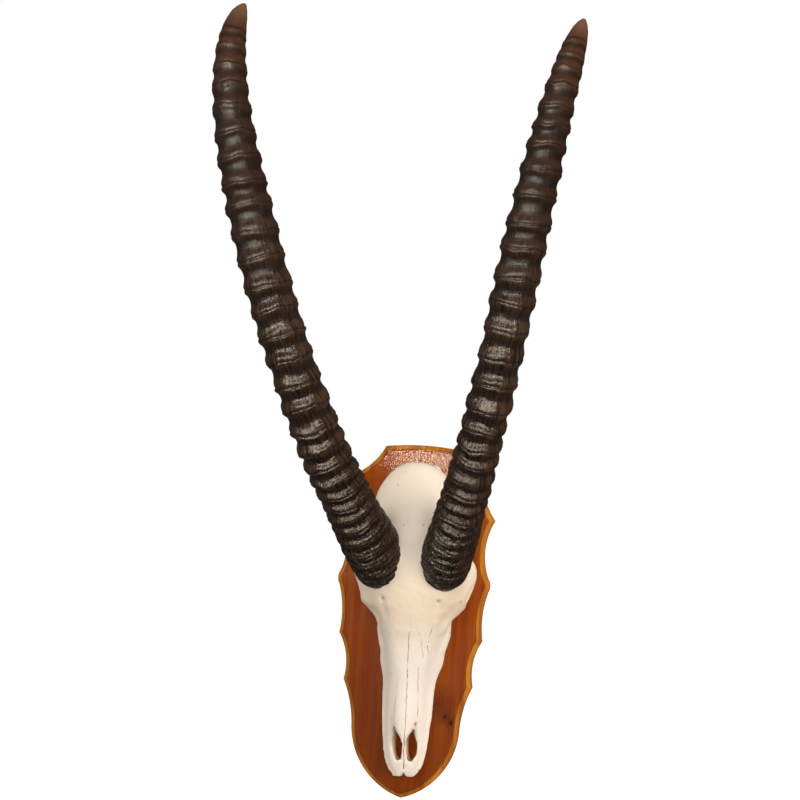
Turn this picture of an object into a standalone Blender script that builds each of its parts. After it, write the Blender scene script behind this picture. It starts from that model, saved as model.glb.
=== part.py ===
"""Sable antelope skull mount: a bleached skull with both horn sheaths on a routed shield board.

Metres, +Z up. The board's flat back lies on the plane y = 0 and everything stands off it towards -Y.
The origin is the middle of that back, and +X is to the right of someone who faces the trophy.
"""

import math

import bmesh
import bpy
import numpy as np
from mathutils import Matrix, Vector

MM = 0.001
GAP = 0.0003

# Shield board: right half of the outline from the top middle down to the point.
# Each stretch is (x, z of its end, bulge): an arc that stands out by the bulge, or in where it is negative.
BOARD_THICKNESS = 0.022
BOARD_TOP = 0.241
BOARD_STRETCHES = (
    (0.0500, 0.2375, 0.0008),
    (0.0920, 0.1960, -0.0048),
    (0.1095, 0.1410, -0.0055),
    (0.1040, 0.0600, -0.0090),
    (0.1050, 0.0400, 0.0030),
    (0.1008, -0.0275, -0.0040),
    (0.0908, -0.0920, -0.0065),
    (0.0756, -0.1540, -0.0033),
    (0.0000, -0.2502, 0.0200),
)
ARC_STEP = 0.015
# Routed edge: (how far in, how far up) for each step from the straight side to the face.
BOARD_ROUTING = (
    (0.0008, 0.0026),
    (0.0024, 0.0028),
    (0.0022, 0.0014),
    (0.0010, 0.0030),
    (0.0013, 0.0002),
    (0.0004, 0.0018),
)

# Skull: its own middle plane stands a little right of the board's. Depths are measured from the wall.
SKULL_X = 0.008
SKULL_VOXEL = 0.0028
HOLLOW_VOXEL = 0.0018
# The bone is thinned to the first of these counts that leaves it one closed surface.
SKULL_TRIANGLES = (2550, 2600, 2650, 2700, 2800, 2900, 3100)
TOOTH_PLANE = BOARD_THICKNESS + GAP
CLEARING_SIZE = (0.4, 0.1, 0.6)

# Horns: stations are at equal shares of the length. Leans are in degrees from straight up.
# Below its base each sheath runs on over the bone as a skirt that rounds in and ends a little to one side.
HORN_STATIONS = (0.0, 0.25, 0.5, 0.75, 1.0)
HORN_SKIRT = 0.020
SKIRT_ROUNDING = ((1.0, 0.86), (0.5, 0.95))
HORN_SIDES = 12
# Rings: full height in front, and what share of it is left at the sides.
RING_HEIGHT = 0.0056
RING_SIDE_SHARE = 0.72
RING_STEPS = ((0.30, 0.55), (0.58, 0.0), (1.0, 1.0))
TIP_STEPS = (0.25, 0.5, 0.75, 0.92, 1.0)
RING_PITCH_BASE = 0.015
RING_PITCH_MIDDLE = 0.032
RING_PITCH_TIP = 0.021
LAST_RING = 0.925
HORN_FRONT_TO_SIDE = 1.06
SEAT_SHARE = 0.25
SEAT_CLEARANCE = 0.0004
HORNS = {
    "horn_right": {
        "base": (0.0550, -0.1264, 0.0810),
        "length": 0.781,
        "side": 1.0,
        "forward": (53.1, 26.2, 12.7, -2.3, -40.1),
        "outward": (12.6, 12.9, 9.7, 10.3, 9.1),
        "girth": 0.962,
        "skirt_shift": 0.0,
    },
    "horn_left": {
        "base": (-0.0341, -0.1264, 0.0816),
        "length": 0.816,
        "side": -1.0,
        "forward": (53.1, 30.2, 12.3, -3.9, -40.3),
        "outward": (12.9, 19.6, 17.0, 13.2, -10.5),
        "girth": 1.031,
        "skirt_shift": -0.005,
    },
}
# Radius of the horn between its rings, as (share of the length, radius).
HORN_RADII = (
    (0.00, 0.0366),
    (0.05, 0.0354),
    (0.10, 0.0325),
    (0.15, 0.0309),
    (0.20, 0.0302),
    (0.30, 0.0284),
    (0.40, 0.0277),
    (0.50, 0.0280),
    (0.60, 0.0276),
    (0.70, 0.0255),
    (0.80, 0.0223),
    (0.90, 0.0187),
    (0.94, 0.0158),
    (0.97, 0.0115),
    (0.99, 0.0065),
    (1.00, 0.0025),
)

# Fixings behind the board. The hanger sits in a shallow pocket, so the back lies flat on the wall.
POCKET_Z = 0.190
POCKET_SIZE = (0.086, 0.024)
POCKET_DEPTH = 0.0045
SKULL_SCREWS = {"skull_screw_lower": (-0.020, 0.066), "skull_screw_upper": (0.152, 0.050)}
SCREW_RADIUS = 0.0022
SCREW_HEAD_RADIUS = 0.0042
SCREW_HEAD_DEPTH = 0.0030
SCREW_POINT = 0.0050
HANGER_Z = 0.192
HANGER_LENGTH = 0.064
HANGER_TEETH = 8
HANGER_TOP = 0.0060
HANGER_FOOT = -0.0045
TOOTH_DEPTH = 0.0022
HANGER_THICKNESS = 0.0012
HANGER_FLAT_FROM = 0.0210
HANGER_BEND = 0.0025
HANGER_BOW = 0.0018
HANGER_SCREWS = {"hanger_screw_left": 0.0265, "hanger_screw_right": -0.0265}
HANGER_SCREW_RADIUS = 0.0013
HANGER_HEAD_RADIUS = 0.0028
HANGER_HEAD_HEIGHT = 0.0012
HANGER_SCREW_REACH = 0.0145

PARTS = bpy.data.collections.new("sable_antelope_skull_mount")
CUTTERS = bpy.data.collections.new("cutters")


def clear_scene():
    for obj in list(bpy.data.objects):
        bpy.data.objects.remove(obj, do_unlink=True)
    for collection in (PARTS, CUTTERS):
        bpy.context.scene.collection.children.link(collection)


def material(name, colour, roughness, metallic=0.0):
    made = bpy.data.materials.new(name)
    made.use_nodes = True
    shader = made.node_tree.nodes["Principled BSDF"]
    shader.inputs["Base Color"].default_value = (*colour, 1.0)
    shader.inputs["Roughness"].default_value = roughness
    shader.inputs["Metallic"].default_value = metallic
    return made


def object_from(bm, name, collection, finish=None, smooth=True):
    mesh = bpy.data.meshes.new(name)
    bm.to_mesh(mesh)
    bm.free()
    if smooth:
        mesh.shade_smooth()
        mesh.set_sharp_from_angle(angle=math.radians(40))
    obj = bpy.data.objects.new(name, mesh)
    collection.objects.link(obj)
    if finish:
        mesh.materials.append(finish)
    else:
        obj.hide_render = True
        obj.display_type = "WIRE"
    return obj


def bake(obj, collection, finish):
    """The object's evaluated shape as a plain mesh under the same name."""
    bpy.context.view_layer.update()
    graph = bpy.context.evaluated_depsgraph_get()
    mesh = bpy.data.meshes.new_from_object(obj.evaluated_get(graph))
    name = obj.name
    bpy.data.objects.remove(obj, do_unlink=True)
    made = bpy.data.objects.new(name, mesh)
    mesh.name = name
    mesh.materials.clear()
    mesh.materials.append(finish)
    collection.objects.link(made)
    return made


def arc_points(start, end, bulge, step):
    """Points from start up to, and without, end along the arc that stands out to the left by bulge."""
    start, end = np.array(start), np.array(end)
    chord = end - start
    length = float(np.hypot(*chord))
    outward = np.array((-chord[1], chord[0])) / length
    count = max(2, round(length / step))
    radius = (length**2 / 4 + bulge**2) / (2 * abs(bulge))
    half_angle = math.asin(min(1.0, length / (2 * radius)))
    points = []
    for index in range(count):
        angle = half_angle * (2 * index / count - 1)
        along = 0.5 + math.sin(angle) / (2 * math.sin(half_angle))
        rise = radius * (math.cos(angle) - math.cos(half_angle))
        points.append(start + chord * along + outward * rise * math.copysign(1.0, bulge))
    return points


def shield_outline():
    """The board's outline, clockwise from the top middle as someone facing it sees it."""
    right = []
    start = (0.0, BOARD_TOP)
    for x, z, bulge in BOARD_STRETCHES:
        right += arc_points(start, (x, z), bulge, ARC_STEP)
        start = (x, z)
    point = np.array(start)
    left = [np.array((-p[0], p[1])) for p in reversed(right[1:])]
    return right + [point] + left


def build_board(finish):
    """A slab whose front edge is routed by stepping its face inwards and forwards."""
    bm = bmesh.new()
    verts = [bm.verts.new((x, 0.0, z)) for x, z in shield_outline()]
    back = bm.faces.new(verts)
    back.normal_update()
    if back.normal.y < 0:
        back.normal_flip()
    rise = sum(step[1] for step in BOARD_ROUTING)
    made = bmesh.ops.extrude_face_region(bm, geom=[back], use_keep_orig=True)
    moved = [item for item in made["geom"] if isinstance(item, bmesh.types.BMVert)]
    bmesh.ops.translate(bm, verts=moved, vec=(0.0, rise - BOARD_THICKNESS, 0.0))
    face = next(item for item in made["geom"] if isinstance(item, bmesh.types.BMFace))
    bmesh.ops.recalc_face_normals(bm, faces=bm.faces)
    for inward, forward in BOARD_ROUTING:
        bmesh.ops.inset_individual(bm, faces=[face], thickness=inward, depth=0.0, use_even_offset=True)
        bmesh.ops.translate(bm, verts=face.verts, vec=(0.0, -forward, 0.0))
    bmesh.ops.recalc_face_normals(bm, faces=bm.faces)
    return object_from(bm, "shield_plaque", PARTS, finish)


def lean_at(values, share):
    """The smooth curve through a lean at each station, read at a share of the horn's length."""
    total = 0.0
    for index, value in enumerate(values):
        weight = 1.0
        for other, station in enumerate(HORN_STATIONS):
            if other != index:
                weight *= (share - station) / (HORN_STATIONS[index] - station)
        total += value * weight
    return math.radians(total)


def horn_direction(horn, share):
    forward = lean_at(horn["forward"], share)
    outward = lean_at(horn["outward"], share)
    return Vector(
        (
            horn["side"] * math.sin(outward),
            -math.cos(outward) * math.sin(forward),
            math.cos(outward) * math.cos(forward),
        )
    )


def horn_spine(horn, steps=200):
    """Points and directions along the horn: the straight skirt over the bone, then the curve."""
    start = Vector(horn["base"])
    direction = horn_direction(horn, 0.0)
    points = [start - direction * HORN_SKIRT + Vector((horn["skirt_shift"], 0.0, 0.0)), start]
    directions = [direction, direction]
    lengths = [0.0, HORN_SKIRT]
    for index in range(steps):
        middle = horn_direction(horn, (index + 0.5) / steps)
        points.append(points[-1] + middle * (horn["length"] / steps))
        directions.append(horn_direction(horn, (index + 1) / steps))
        lengths.append(HORN_SKIRT + horn["length"] * (index + 1) / steps)
    return np.array(lengths), np.array(points), np.array(directions)


def radius_at(share):
    """Radius between the rings, eased between its stations."""
    shares = [row[0] for row in HORN_RADII]
    return float(np.interp(share, shares, [row[1] for row in HORN_RADII]))


def ramp(value, low, high):
    """0 below low, 1 above high, eased between them."""
    share = min(1.0, max(0.0, (value - low) / (high - low)))
    return share * share * (3.0 - 2.0 * share)


def ring_pitch(share):
    """Distance from one ring to the next: tight at the base, wide in the middle, closer near the tip."""
    pitch = RING_PITCH_BASE + (RING_PITCH_MIDDLE - RING_PITCH_BASE) * ramp(share, 0.05, 0.34)
    return pitch - (RING_PITCH_MIDDLE - RING_PITCH_TIP) * ramp(share, 0.68, 0.95)


def horn_sections(horn):
    """(share, radius, ring height) for each section, from the flat foot to the tip."""
    length = horn["length"]
    foot = radius_at(0.0)
    sections = [(-HORN_SKIRT * reach / length, foot * size, 0.0) for reach, size in SKIRT_ROUNDING]
    sections.append((-0.003, foot, 0.0))
    last = 0.0
    while last < LAST_RING:
        pitch = ring_pitch(last) / length
        height = RING_HEIGHT * min(1.0, (1.0 - last) / 0.25) * min(1.0, 0.45 + last / 0.25)
        for step, rise in RING_STEPS:
            share = last + pitch * step
            sections.append((share, radius_at(share), height * rise))
        last += pitch
    rest = 1.0 - last
    for step in TIP_STEPS:
        share = last + rest * step
        sections.append((share, radius_at(share), 0.0))
    return sections


def loft(bm, rings):
    """Bridges equal rings of points with quads and closes both ends."""
    loops = [[bm.verts.new(point) for point in ring] for ring in rings]
    count = len(loops[0])
    for lower, upper in zip(loops, loops[1:]):
        for index in range(count):
            after = (index + 1) % count
            bm.faces.new((lower[index], lower[after], upper[after], upper[index]))
    bm.faces.new(list(reversed(loops[0])))
    bm.faces.new(loops[-1])


def horn_rings(horn, sections, grow=0.0):
    """The outline of each section, as points in space. The rings stand highest in front and lowest behind."""
    lengths, points, directions = horn_spine(horn)
    rings = []
    for share, radius, height in sections:
        at = HORN_SKIRT + share * horn["length"]
        centre = Vector([np.interp(at, lengths, points[:, axis]) for axis in range(3)])
        along = Vector([np.interp(at, lengths, directions[:, axis]) for axis in range(3)]).normalized()
        sideways = Vector((1.0, 0.0, 0.0))
        sideways = (sideways - along * sideways.dot(along)).normalized()
        front = along.cross(sideways)
        front = -front if front.y > 0 else front
        ring = []
        for index in range(HORN_SIDES):
            angle = math.tau * index / HORN_SIDES
            turn_share = RING_SIDE_SHARE + (1.0 - RING_SIDE_SHARE) * math.cos(angle)
            size = radius * horn["girth"] + height * turn_share + grow
            offset = front * math.cos(angle) * size * HORN_FRONT_TO_SIDE
            offset += sideways * math.sin(angle) * size / HORN_FRONT_TO_SIDE
            ring.append(centre + offset)
        rings.append(ring)
    return rings


def build_horn(name, horn, finish):
    """A ringed sheath lofted along its spine, flat where it sits on the skull."""
    bm = bmesh.new()
    loft(bm, horn_rings(horn, horn_sections(horn)))
    bmesh.ops.recalc_face_normals(bm, faces=bm.faces)
    return object_from(bm, name, PARTS, finish)


def horn_seat(bm, horn):
    """The space that the foot of a horn takes up in the bone, with its clearance."""
    sections = [row for row in horn_sections(horn) if row[0] < SEAT_SHARE]
    rings = horn_rings(horn, sections, SEAT_CLEARANCE)
    along = horn_direction(horn, 0.0)
    rings[0] = [point - along * SEAT_CLEARANCE for point in rings[0]]
    loft(bm, rings)


def skull_point(x, depth, z):
    """A place in the skull's own measure, in millimetres: sideways, out from the wall, up."""
    return Vector((SKULL_X + x * MM, -depth * MM, z * MM))


def add_ellipsoid(bm, centre, radii, tilt=0.0):
    """A stretched ball. The tilt leans its long axis back towards the wall, in degrees."""
    turn = Matrix.Rotation(math.radians(tilt), 4, "X")
    size = Matrix.Diagonal((radii[0] * MM, radii[1] * MM, radii[2] * MM, 1.0))
    place = Matrix.Translation(skull_point(*centre))
    bmesh.ops.create_uvsphere(bm, u_segments=32, v_segments=20, radius=1.0, matrix=place @ turn @ size)


def add_limb(bm, stations, flatten=1.0):
    """A bone of round or flattened section through (x, depth, z, radius) stations, with rounded ends."""
    centres = [skull_point(*row[:3]) for row in stations]
    radii = [row[3] * MM for row in stations]
    rings = []
    for index, (centre, radius) in enumerate(zip(centres, radii)):
        ahead = centres[min(index + 1, len(centres) - 1)]
        behind = centres[max(index - 1, 0)]
        along = (ahead - behind).normalized()
        flat = Vector((0.0, -1.0, 0.0))
        flat = (flat - along * flat.dot(along)).normalized()
        wide = along.cross(flat)
        if index == 0:
            rings.append([centre - along * radius * 0.7 + (wide * c + flat * s * flatten) * radius * 0.5
                          for c, s in circle(16)])
        rings.append([centre + (wide * c + flat * s * flatten) * radius for c, s in circle(16)])
        if index == len(centres) - 1:
            rings.append([centre + along * radius * 0.7 + (wide * c + flat * s * flatten) * radius * 0.5
                          for c, s in circle(16)])
    loft(bm, rings)


def circle(count, first=0.0):
    """The cosine and sine of each corner's angle, the first one turned by that share of a step."""
    angles = [math.tau * (i + first) / count for i in range(count)]
    return [(math.cos(angle), math.sin(angle)) for angle in angles]


def add_rim(bm, centre, normal, radius, thickness, count=36, sides=12):
    """A ring of bone round a socket."""
    facing = Vector((normal[0], -normal[1], normal[2])).normalized()
    up = Vector((0.0, 0.0, 1.0))
    up = (up - facing * up.dot(facing)).normalized()
    across = facing.cross(up)
    middle = skull_point(*centre)
    verts = []
    for c, s in circle(count):
        spoke = up * c + across * s
        hub = middle + spoke * radius * MM
        verts.append([bm.verts.new(hub + (spoke * a + facing * b) * thickness * MM) for a, b in circle(sides)])
    for i in range(count):
        here, there = verts[i], verts[(i + 1) % count]
        for j in range(sides):
            k = (j + 1) % sides
            bm.faces.new((here[j], here[k], there[k], there[j]))


# Face and snout: (z, half width at the palate, half width on top, palate depth, top depth).
FACE_STATIONS = (
    (-216, 11.0, 8.0, 37, 45),
    (-209, 18.5, 13.0, 36, 49),
    (-198, 25.5, 18.5, 36, 54),
    (-180, 29.8, 23.0, 38, 60),
    (-156, 32.3, 24.0, 41, 68),
    (-132, 34.3, 24.0, 43, 79),
    (-108, 35.0, 23.0, 43, 89),
    (-80, 36.5, 22.0, 42, 99),
    (-60, 43.5, 25.0, 41, 107),
    (-40, 44.5, 29.0, 41, 115),
    (-18, 50.5, 34.0, 42, 124),
    (4, 46.5, 40.0, 46, 132),
    (28, 44.0, 46.0, 56, 138),
    (55, 42.0, 48.0, 62, 142),
    (84, 38.0, 44.0, 66, 142),
)
# The bone isn't quite even: (z, how far its middle lies to the right there). The snout bends a little left.
MIDDLE_STATIONS = ((-216, -2.0), (-90, -0.6), (-70, 0.4), (-30, 2.6), (45, 3.0), (80, 2.0), (110, 1.0))

# Cheek teeth from front to back: (z, distance from the middle, length).
TEETH = (
    (-104, 26.0, 11.5),
    (-90, 27.5, 12.5),
    (-75.5, 29.0, 13.5),
    (-57.5, 31.5, 18.0),
    (-36, 33.0, 20.0),
    (-15, 33.0, 18.0),
)
TOOTH_WIDTH = 0.013
TOOTH_HEIGHT = 0.030

# Bones of the nose: (z, half width, underside depth, top depth).
NOSE_STATIONS = (
    (-96, 17.0, 72, 96),
    (-130, 15.5, 72, 89),
    (-146, 13.0, 72, 84),
    (-156, 8.5, 72, 81),
    (-163, 4.5, 73, 79.5),
    (-168, 1.5, 75, 78.5),
)
# Each nostril: (z, inner distance from the middle, outer distance on the floor and in front, back and front depth).
NOSTRIL_FLOOR = (
    (-112, 3.0, 11.0, 11.0, 60, 66),
    (-128, 2.6, 15.0, 17.0, 54, 70),
    (-146, 2.6, 14.5, 20.0, 49, 70),
    (-165, 2.8, 13.5, 19.0, 46, 64),
    (-182, 3.2, 13.0, 16.0, 44, 56),
    (-194, 4.2, 10.0, 11.0, 43, 52),
)
NOSTRIL_MOUTH = (
    (-134, 15.2, 16.0, 17.0, 70, 90),
    (-146, 12.4, 15.0, 18.5, 62, 90),
    (-155, 8.0, 14.0, 21.0, 57, 90),
    (-163, 2.8, 13.0, 23.0, 54, 90),
    (-180, 3.0, 12.6, 23.0, 49, 90),
    (-192, 4.2, 9.5, 16.0, 47, 90),
)
# Slots through the palate: their distance from the middle and the snout's lean there, both in millimetres.
SLOT_X = 8.4
SLOT_BEND = 1.3
SLOT_DEPTH = 0.034
SLOT_Z = -0.171
SLOT_SIZE = (0.0086, 0.040, 0.040)

# Shelf of the brow that roofs the eye sockets: (z, half width, depth of its edge, depth in the middle).
BROW_STATIONS = (
    (-10, 41, 84, 123),
    (0, 44, 84, 128),
    (7, 52.5, 85, 131),
    (14, 62, 86, 134),
    (24, 71.5, 87, 138),
    (38, 77.5, 88, 142),
    (52, 82.5, 89, 145),
    (68, 85.5, 90, 147),
    (80, 84, 90, 147),
    (94, 72, 90, 144),
    (108, 52, 90, 138),
)
BROW_THICKNESS = 9
EYE_Z = 45


def middle_at(z):
    """How far the bone's middle lies to the right at that height, in millimetres."""
    heights = [row[0] for row in MIDDLE_STATIONS]
    return float(np.interp(z, heights, [row[1] for row in MIDDLE_STATIONS]))


def add_face(bm):
    """The snout and face as sections with a flat palate, leaning sides and a rounded top."""
    rings = []
    for z, half_low, half_top, low, top in FACE_STATIONS:
        shoulder = top - 0.16 * (top - low)
        right = [
            (0.55 * half_low, low),
            (0.92 * half_low, low + 3),
            (half_low, low + 12),
            (0.45 * half_low + 0.55 * half_top, 0.45 * low + 0.55 * shoulder),
            (half_top, shoulder),
            (0.72 * half_top, 0.35 * shoulder + 0.65 * top),
            (0.36 * half_top, 0.08 * shoulder + 0.92 * top),
        ]
        left = [(-x, depth) for x, depth in reversed(right)]
        rings.append([skull_point(x + middle_at(z), depth, z) for x, depth in right + left])
    loft(bm, rings)


def add_nose(bm):
    """The two long bones of the nose, ending in a point that overhangs the nostrils."""
    rings = []
    for z, half, low, top in NOSE_STATIONS:
        right = [(half, low), (half, 0.45 * low + 0.55 * top), (0.62 * half, 0.14 * low + 0.86 * top)]
        left = [(-x, depth) for x, depth in reversed(right)]
        rings.append([skull_point(x - SLOT_BEND, depth, z) for x, depth in right + [(0.0, top)] + left])
    loft(bm, rings)


def add_brow(bm):
    """A dome across the forehead that thins out to a rounded edge over each eye."""
    rings = []
    for z, half, edge, middle in BROW_STATIONS:
        rise = middle - edge
        right = [
            (0.34 * half, edge + 0.93 * rise),
            (0.60 * half, edge + 0.72 * rise),
            (0.82 * half, edge + 0.41 * rise),
            (0.96 * half, edge + 0.10 * rise),
            (half, edge - 0.4 * BROW_THICKNESS),
            (0.93 * half, edge - BROW_THICKNESS),
            (0.60 * half, edge - BROW_THICKNESS),
        ]
        left = [(-x, depth) for x, depth in reversed(right)]
        rings.append([skull_point(x + middle_at(z), depth, z) for x, depth in right + left])
    loft(bm, rings)


def skull_forms(bm):
    """All the bones as closed forms that run into each other."""
    add_face(bm)
    add_nose(bm)
    add_brow(bm)
    add_ellipsoid(bm, (-1, 72, 140), (60, 50, 76), 12)
    add_ellipsoid(bm, (1, 106, 84), (52, 38, 58), 24)
    add_limb(bm, ((0, 44, 190, 15), (0, 46, 150, 16), (0, 52, 100, 17), (0, 62, 50, 22)))
    shift = middle_at(EYE_Z)
    for side in (-1, 1):
        add_rim(bm, (71.5 * side + shift, 73, EYE_Z), (0.93 * side, 0.05, -0.30), 23.0, 4.5)
        add_ellipsoid(bm, (51 * side + shift, 74, 25), (15, 22, 18))
        cheek = ((37, 62, -34, 8.5), (40.5, 62, -12, 8.5), (43, 60, 6, 8), (57, 58, 26, 7))
        arch = ((68, 55, 56, 6.5), (68, 54, 92, 6.5), (58, 56, 130, 9))
        add_limb(bm, [(x * side + middle_at(z), depth, z, size) for x, depth, z, size in cheek + arch], 0.9)
        add_limb(bm, ((34 * side + shift, 84, 0, 14), (48 * side + shift, 76, 16, 10)))
        add_limb(bm, ((46 * side, 50, 172, 9), (44 * side, 34, 176, 7), (42 * side, 28, 178, 5)))
        add_ellipsoid(bm, (25 * side, 40, 146), (11, 13, 16))
        add_ellipsoid(bm, (15 * side, 42, 202), (12, 13, 11))
        add_limb(bm, ((16 * side, 48, 60, 6), (15 * side, 42, 82, 5), (15 * side, 50, 104, 5)))
        horn = HORNS["horn_right" if side > 0 else "horn_left"]
        seat = Vector(horn["base"])
        direction = horn_direction(horn, 0.0)
        root = seat - direction * 0.050
        foot = ((root.x - SKULL_X) / MM, -root.y / MM, root.z / MM)
        head = ((seat.x - SKULL_X) / MM, -seat.y / MM, seat.z / MM)
        add_limb(bm, ((*foot, 30), (*head, 31)))
        add_teeth(bm, side)


def skull_hollows(bm):
    """The spaces in the bone: eye sockets, temples, nose, palate slots, the notch at the tip, the spine's hole."""
    for side in (-1, 1):
        add_ellipsoid(bm, (77.5 * side + middle_at(EYE_Z), 72, EYE_Z - 1), (38, 21, 21))
        add_limb(bm, ((62 * side, 74, 92, 9), (63 * side, 70, 118, 10)), 1.9)
        add_nostril(bm, side)
        x = SKULL_X + (SLOT_X * side - SLOT_BEND) * MM
        add_slot(bm, (x, SLOT_DEPTH, SLOT_Z), SLOT_SIZE)
    notch = ((42, -226, 6.5), (42, -214, 2.8), (43, -204, 2.2), (44, -197, 1.9))
    add_limb(bm, [(-SLOT_BEND, depth, z, size) for depth, z, size in notch], 2.0)
    add_limb(bm, ((0, 44, 225, 13), (0, 56, 180, 13)))


def add_teeth(bm, side):
    """Six cheek teeth in a row that curves a little, reaching down to the board."""
    for z, x, length in TEETH:
        centre = skull_point(x * side + middle_at(z), 0.0, z)
        depth = TOOTH_PLANE + TOOTH_HEIGHT / 2
        add_block(bm, (centre.x, depth, centre.z), (TOOTH_WIDTH, TOOTH_HEIGHT, length * MM))


def add_nostril(bm, side):
    """The nasal passage on one side: under the nose bone, and open to the front beside and below its tip."""
    for sections in (NOSTRIL_FLOOR, NOSTRIL_MOUTH):
        rings = []
        for z, inner, floor, lip, back, front in sections:
            corners = ((inner, back), (floor, back), (lip, front), (inner, front))
            rings.append([skull_point(x * side - SLOT_BEND, depth, z) for x, depth in corners])
        loft(bm, rings)


def add_slot(bm, centre, size):
    """A round-ended slot square to the wall. Centre and full size are sideways, out from the wall, up."""
    wide, deep, tall = size
    radius = min(wide, tall) / 2
    outline = []
    for c, s in circle(16, 0.5):
        x = centre[0] + math.copysign(wide / 2 - radius, c) + radius * c
        z = centre[2] + math.copysign(tall / 2 - radius, s) + radius * s
        outline.append((x, z))
    loft(bm, [[Vector((x, -depth, z)) for x, z in outline]
              for depth in (centre[1] - deep / 2, centre[1] + deep / 2)])


def cutter(name, shape, *details):
    bm = bmesh.new()
    shape(bm, *details)
    bmesh.ops.recalc_face_normals(bm, faces=bm.faces)
    return object_from(bm, name, CUTTERS, smooth=False)


def cut(obj, tool):
    step = obj.modifiers.new(tool.name, "BOOLEAN")
    step.operation = "DIFFERENCE"
    step.solver = "EXACT"
    step.object = tool


def build_skull(finish):
    bm = bmesh.new()
    skull_forms(bm)
    bmesh.ops.recalc_face_normals(bm, faces=bm.faces)
    skull = object_from(bm, "skull", PARTS, finish, smooth=False)
    fuse = skull.modifiers.new("fuse", "REMESH")
    fuse.mode = "VOXEL"
    fuse.voxel_size = SKULL_VOXEL
    ease = skull.modifiers.new("ease", "SMOOTH")
    ease.factor = 0.5
    ease.iterations = 6
    hollows = cutter("hollows", skull_hollows)
    join = hollows.modifiers.new("join", "REMESH")
    join.mode = "VOXEL"
    join.voxel_size = HOLLOW_VOXEL
    cut(skull, hollows)
    seal = skull.modifiers.new("seal", "REMESH")
    seal.mode = "VOXEL"
    seal.voxel_size = SKULL_VOXEL
    soften = skull.modifiers.new("soften", "SMOOTH")
    soften.factor = 0.5
    soften.iterations = 3
    skull = bake(skull, PARTS, finish)
    whole = skull.data
    for budget in SKULL_TRIANGLES:
        skull.data = thin_mesh(whole, budget)
        if is_closed(skull.data):
            break
    skull.data.name = "skull"
    for name, horn in HORNS.items():
        cut(skull, cutter(f"seat_of_{name}", horn_seat, horn))
    wide, deep, tall = CLEARING_SIZE
    cut(skull, cutter("board_face", add_block, (0.0, TOOTH_PLANE - deep / 2, 0.0), (wide, deep, tall)))
    for name, (z, length) in SKULL_SCREWS.items():
        cut(skull, cutter(f"pilot_of_{name}", add_turned, (SKULL_X, z), skull_screw_profile(length, GAP)))
    bake(skull, PARTS, finish)


def add_block(bm, centre, size):
    """A box by its centre, as (x, depth from the wall, z), and its full sizes in the same order."""
    block = bmesh.ops.create_cube(bm, size=1.0)
    place = Matrix.Translation(Vector((centre[0], -centre[1], centre[2])))
    bmesh.ops.transform(bm, matrix=place @ Matrix.Diagonal((*size, 1.0)), verts=block["verts"])


def add_turned(bm, place, profile, sides=12):
    """A solid turned round a line square to the wall, from its (radius, depth from the wall) profile."""
    x, z = place
    loft(bm, [[Vector((x + r * c, -depth, z + r * s)) for c, s in circle(sides)] for r, depth in profile])


def skull_screw_profile(length, grow=0.0):
    """A countersunk screw driven from the back of the board. Grown, it is the hole that takes it."""
    head = GAP - 4 * grow
    neck = GAP + SCREW_HEAD_DEPTH
    tip = SCREW_RADIUS * 0.3 + grow
    return (
        (SCREW_HEAD_RADIUS + grow + (4 * grow) * 0.4, head),
        (SCREW_HEAD_RADIUS + grow, GAP),
        (SCREW_RADIUS + grow, neck),
        (SCREW_RADIUS + grow, length - SCREW_POINT),
        (tip, length + grow),
    )


def hanger_screw_profile():
    """A small round-headed screw that holds the hanger. The part past its head goes into the board."""
    under = POCKET_DEPTH - GAP * 2 - HANGER_THICKNESS
    top = under - HANGER_HEAD_HEIGHT
    return (
        (HANGER_HEAD_RADIUS * 0.6, top),
        (HANGER_HEAD_RADIUS, top + HANGER_HEAD_HEIGHT * 0.5),
        (HANGER_HEAD_RADIUS, under),
        (HANGER_SCREW_RADIUS, under),
        (HANGER_SCREW_RADIUS, HANGER_SCREW_REACH - SCREW_POINT),
        (HANGER_SCREW_RADIUS * 0.3, HANGER_SCREW_REACH),
    )


def hanger_hole_profile():
    """The hole that a hanger screw takes, through the hanger and into the board."""
    radius = HANGER_SCREW_RADIUS + GAP
    return ((radius, POCKET_DEPTH / 2), (radius, HANGER_SCREW_REACH + GAP))


def build_hanger(finish):
    """A toothed strip, flat at its two screws and bowed clear of the pocket's floor between them."""
    bm = bmesh.new()
    reach = HANGER_LENGTH / 2
    columns = [-reach, -HANGER_FLAT_FROM]
    columns += [HANGER_FLAT_FROM * (i / HANGER_TEETH - 1) for i in range(1, 2 * HANGER_TEETH)]
    columns += [HANGER_FLAT_FROM, reach]
    rings = []
    for index, x in enumerate(columns):
        bow = HANGER_BOW * min(1.0, max(0.0, (HANGER_FLAT_FROM - abs(x)) / HANGER_BEND))
        notch = TOOTH_DEPTH if 1 < index < len(columns) - 2 and index % 2 == 0 else 0.0
        near = GAP + bow - POCKET_DEPTH
        far = near + HANGER_THICKNESS
        foot, top = HANGER_Z + HANGER_FOOT + notch, HANGER_Z + HANGER_TOP
        rings.append([Vector((x, near, foot)), Vector((x, near, top)), Vector((x, far, top)), Vector((x, far, foot))])
    loft(bm, rings)
    bmesh.ops.recalc_face_normals(bm, faces=bm.faces)
    hanger = object_from(bm, "hanger", PARTS, finish, smooth=False)
    for name, x in HANGER_SCREWS.items():
        cut(hanger, cutter(f"hole_of_{name}", add_turned, (x, HANGER_Z), hanger_hole_profile()))


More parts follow.
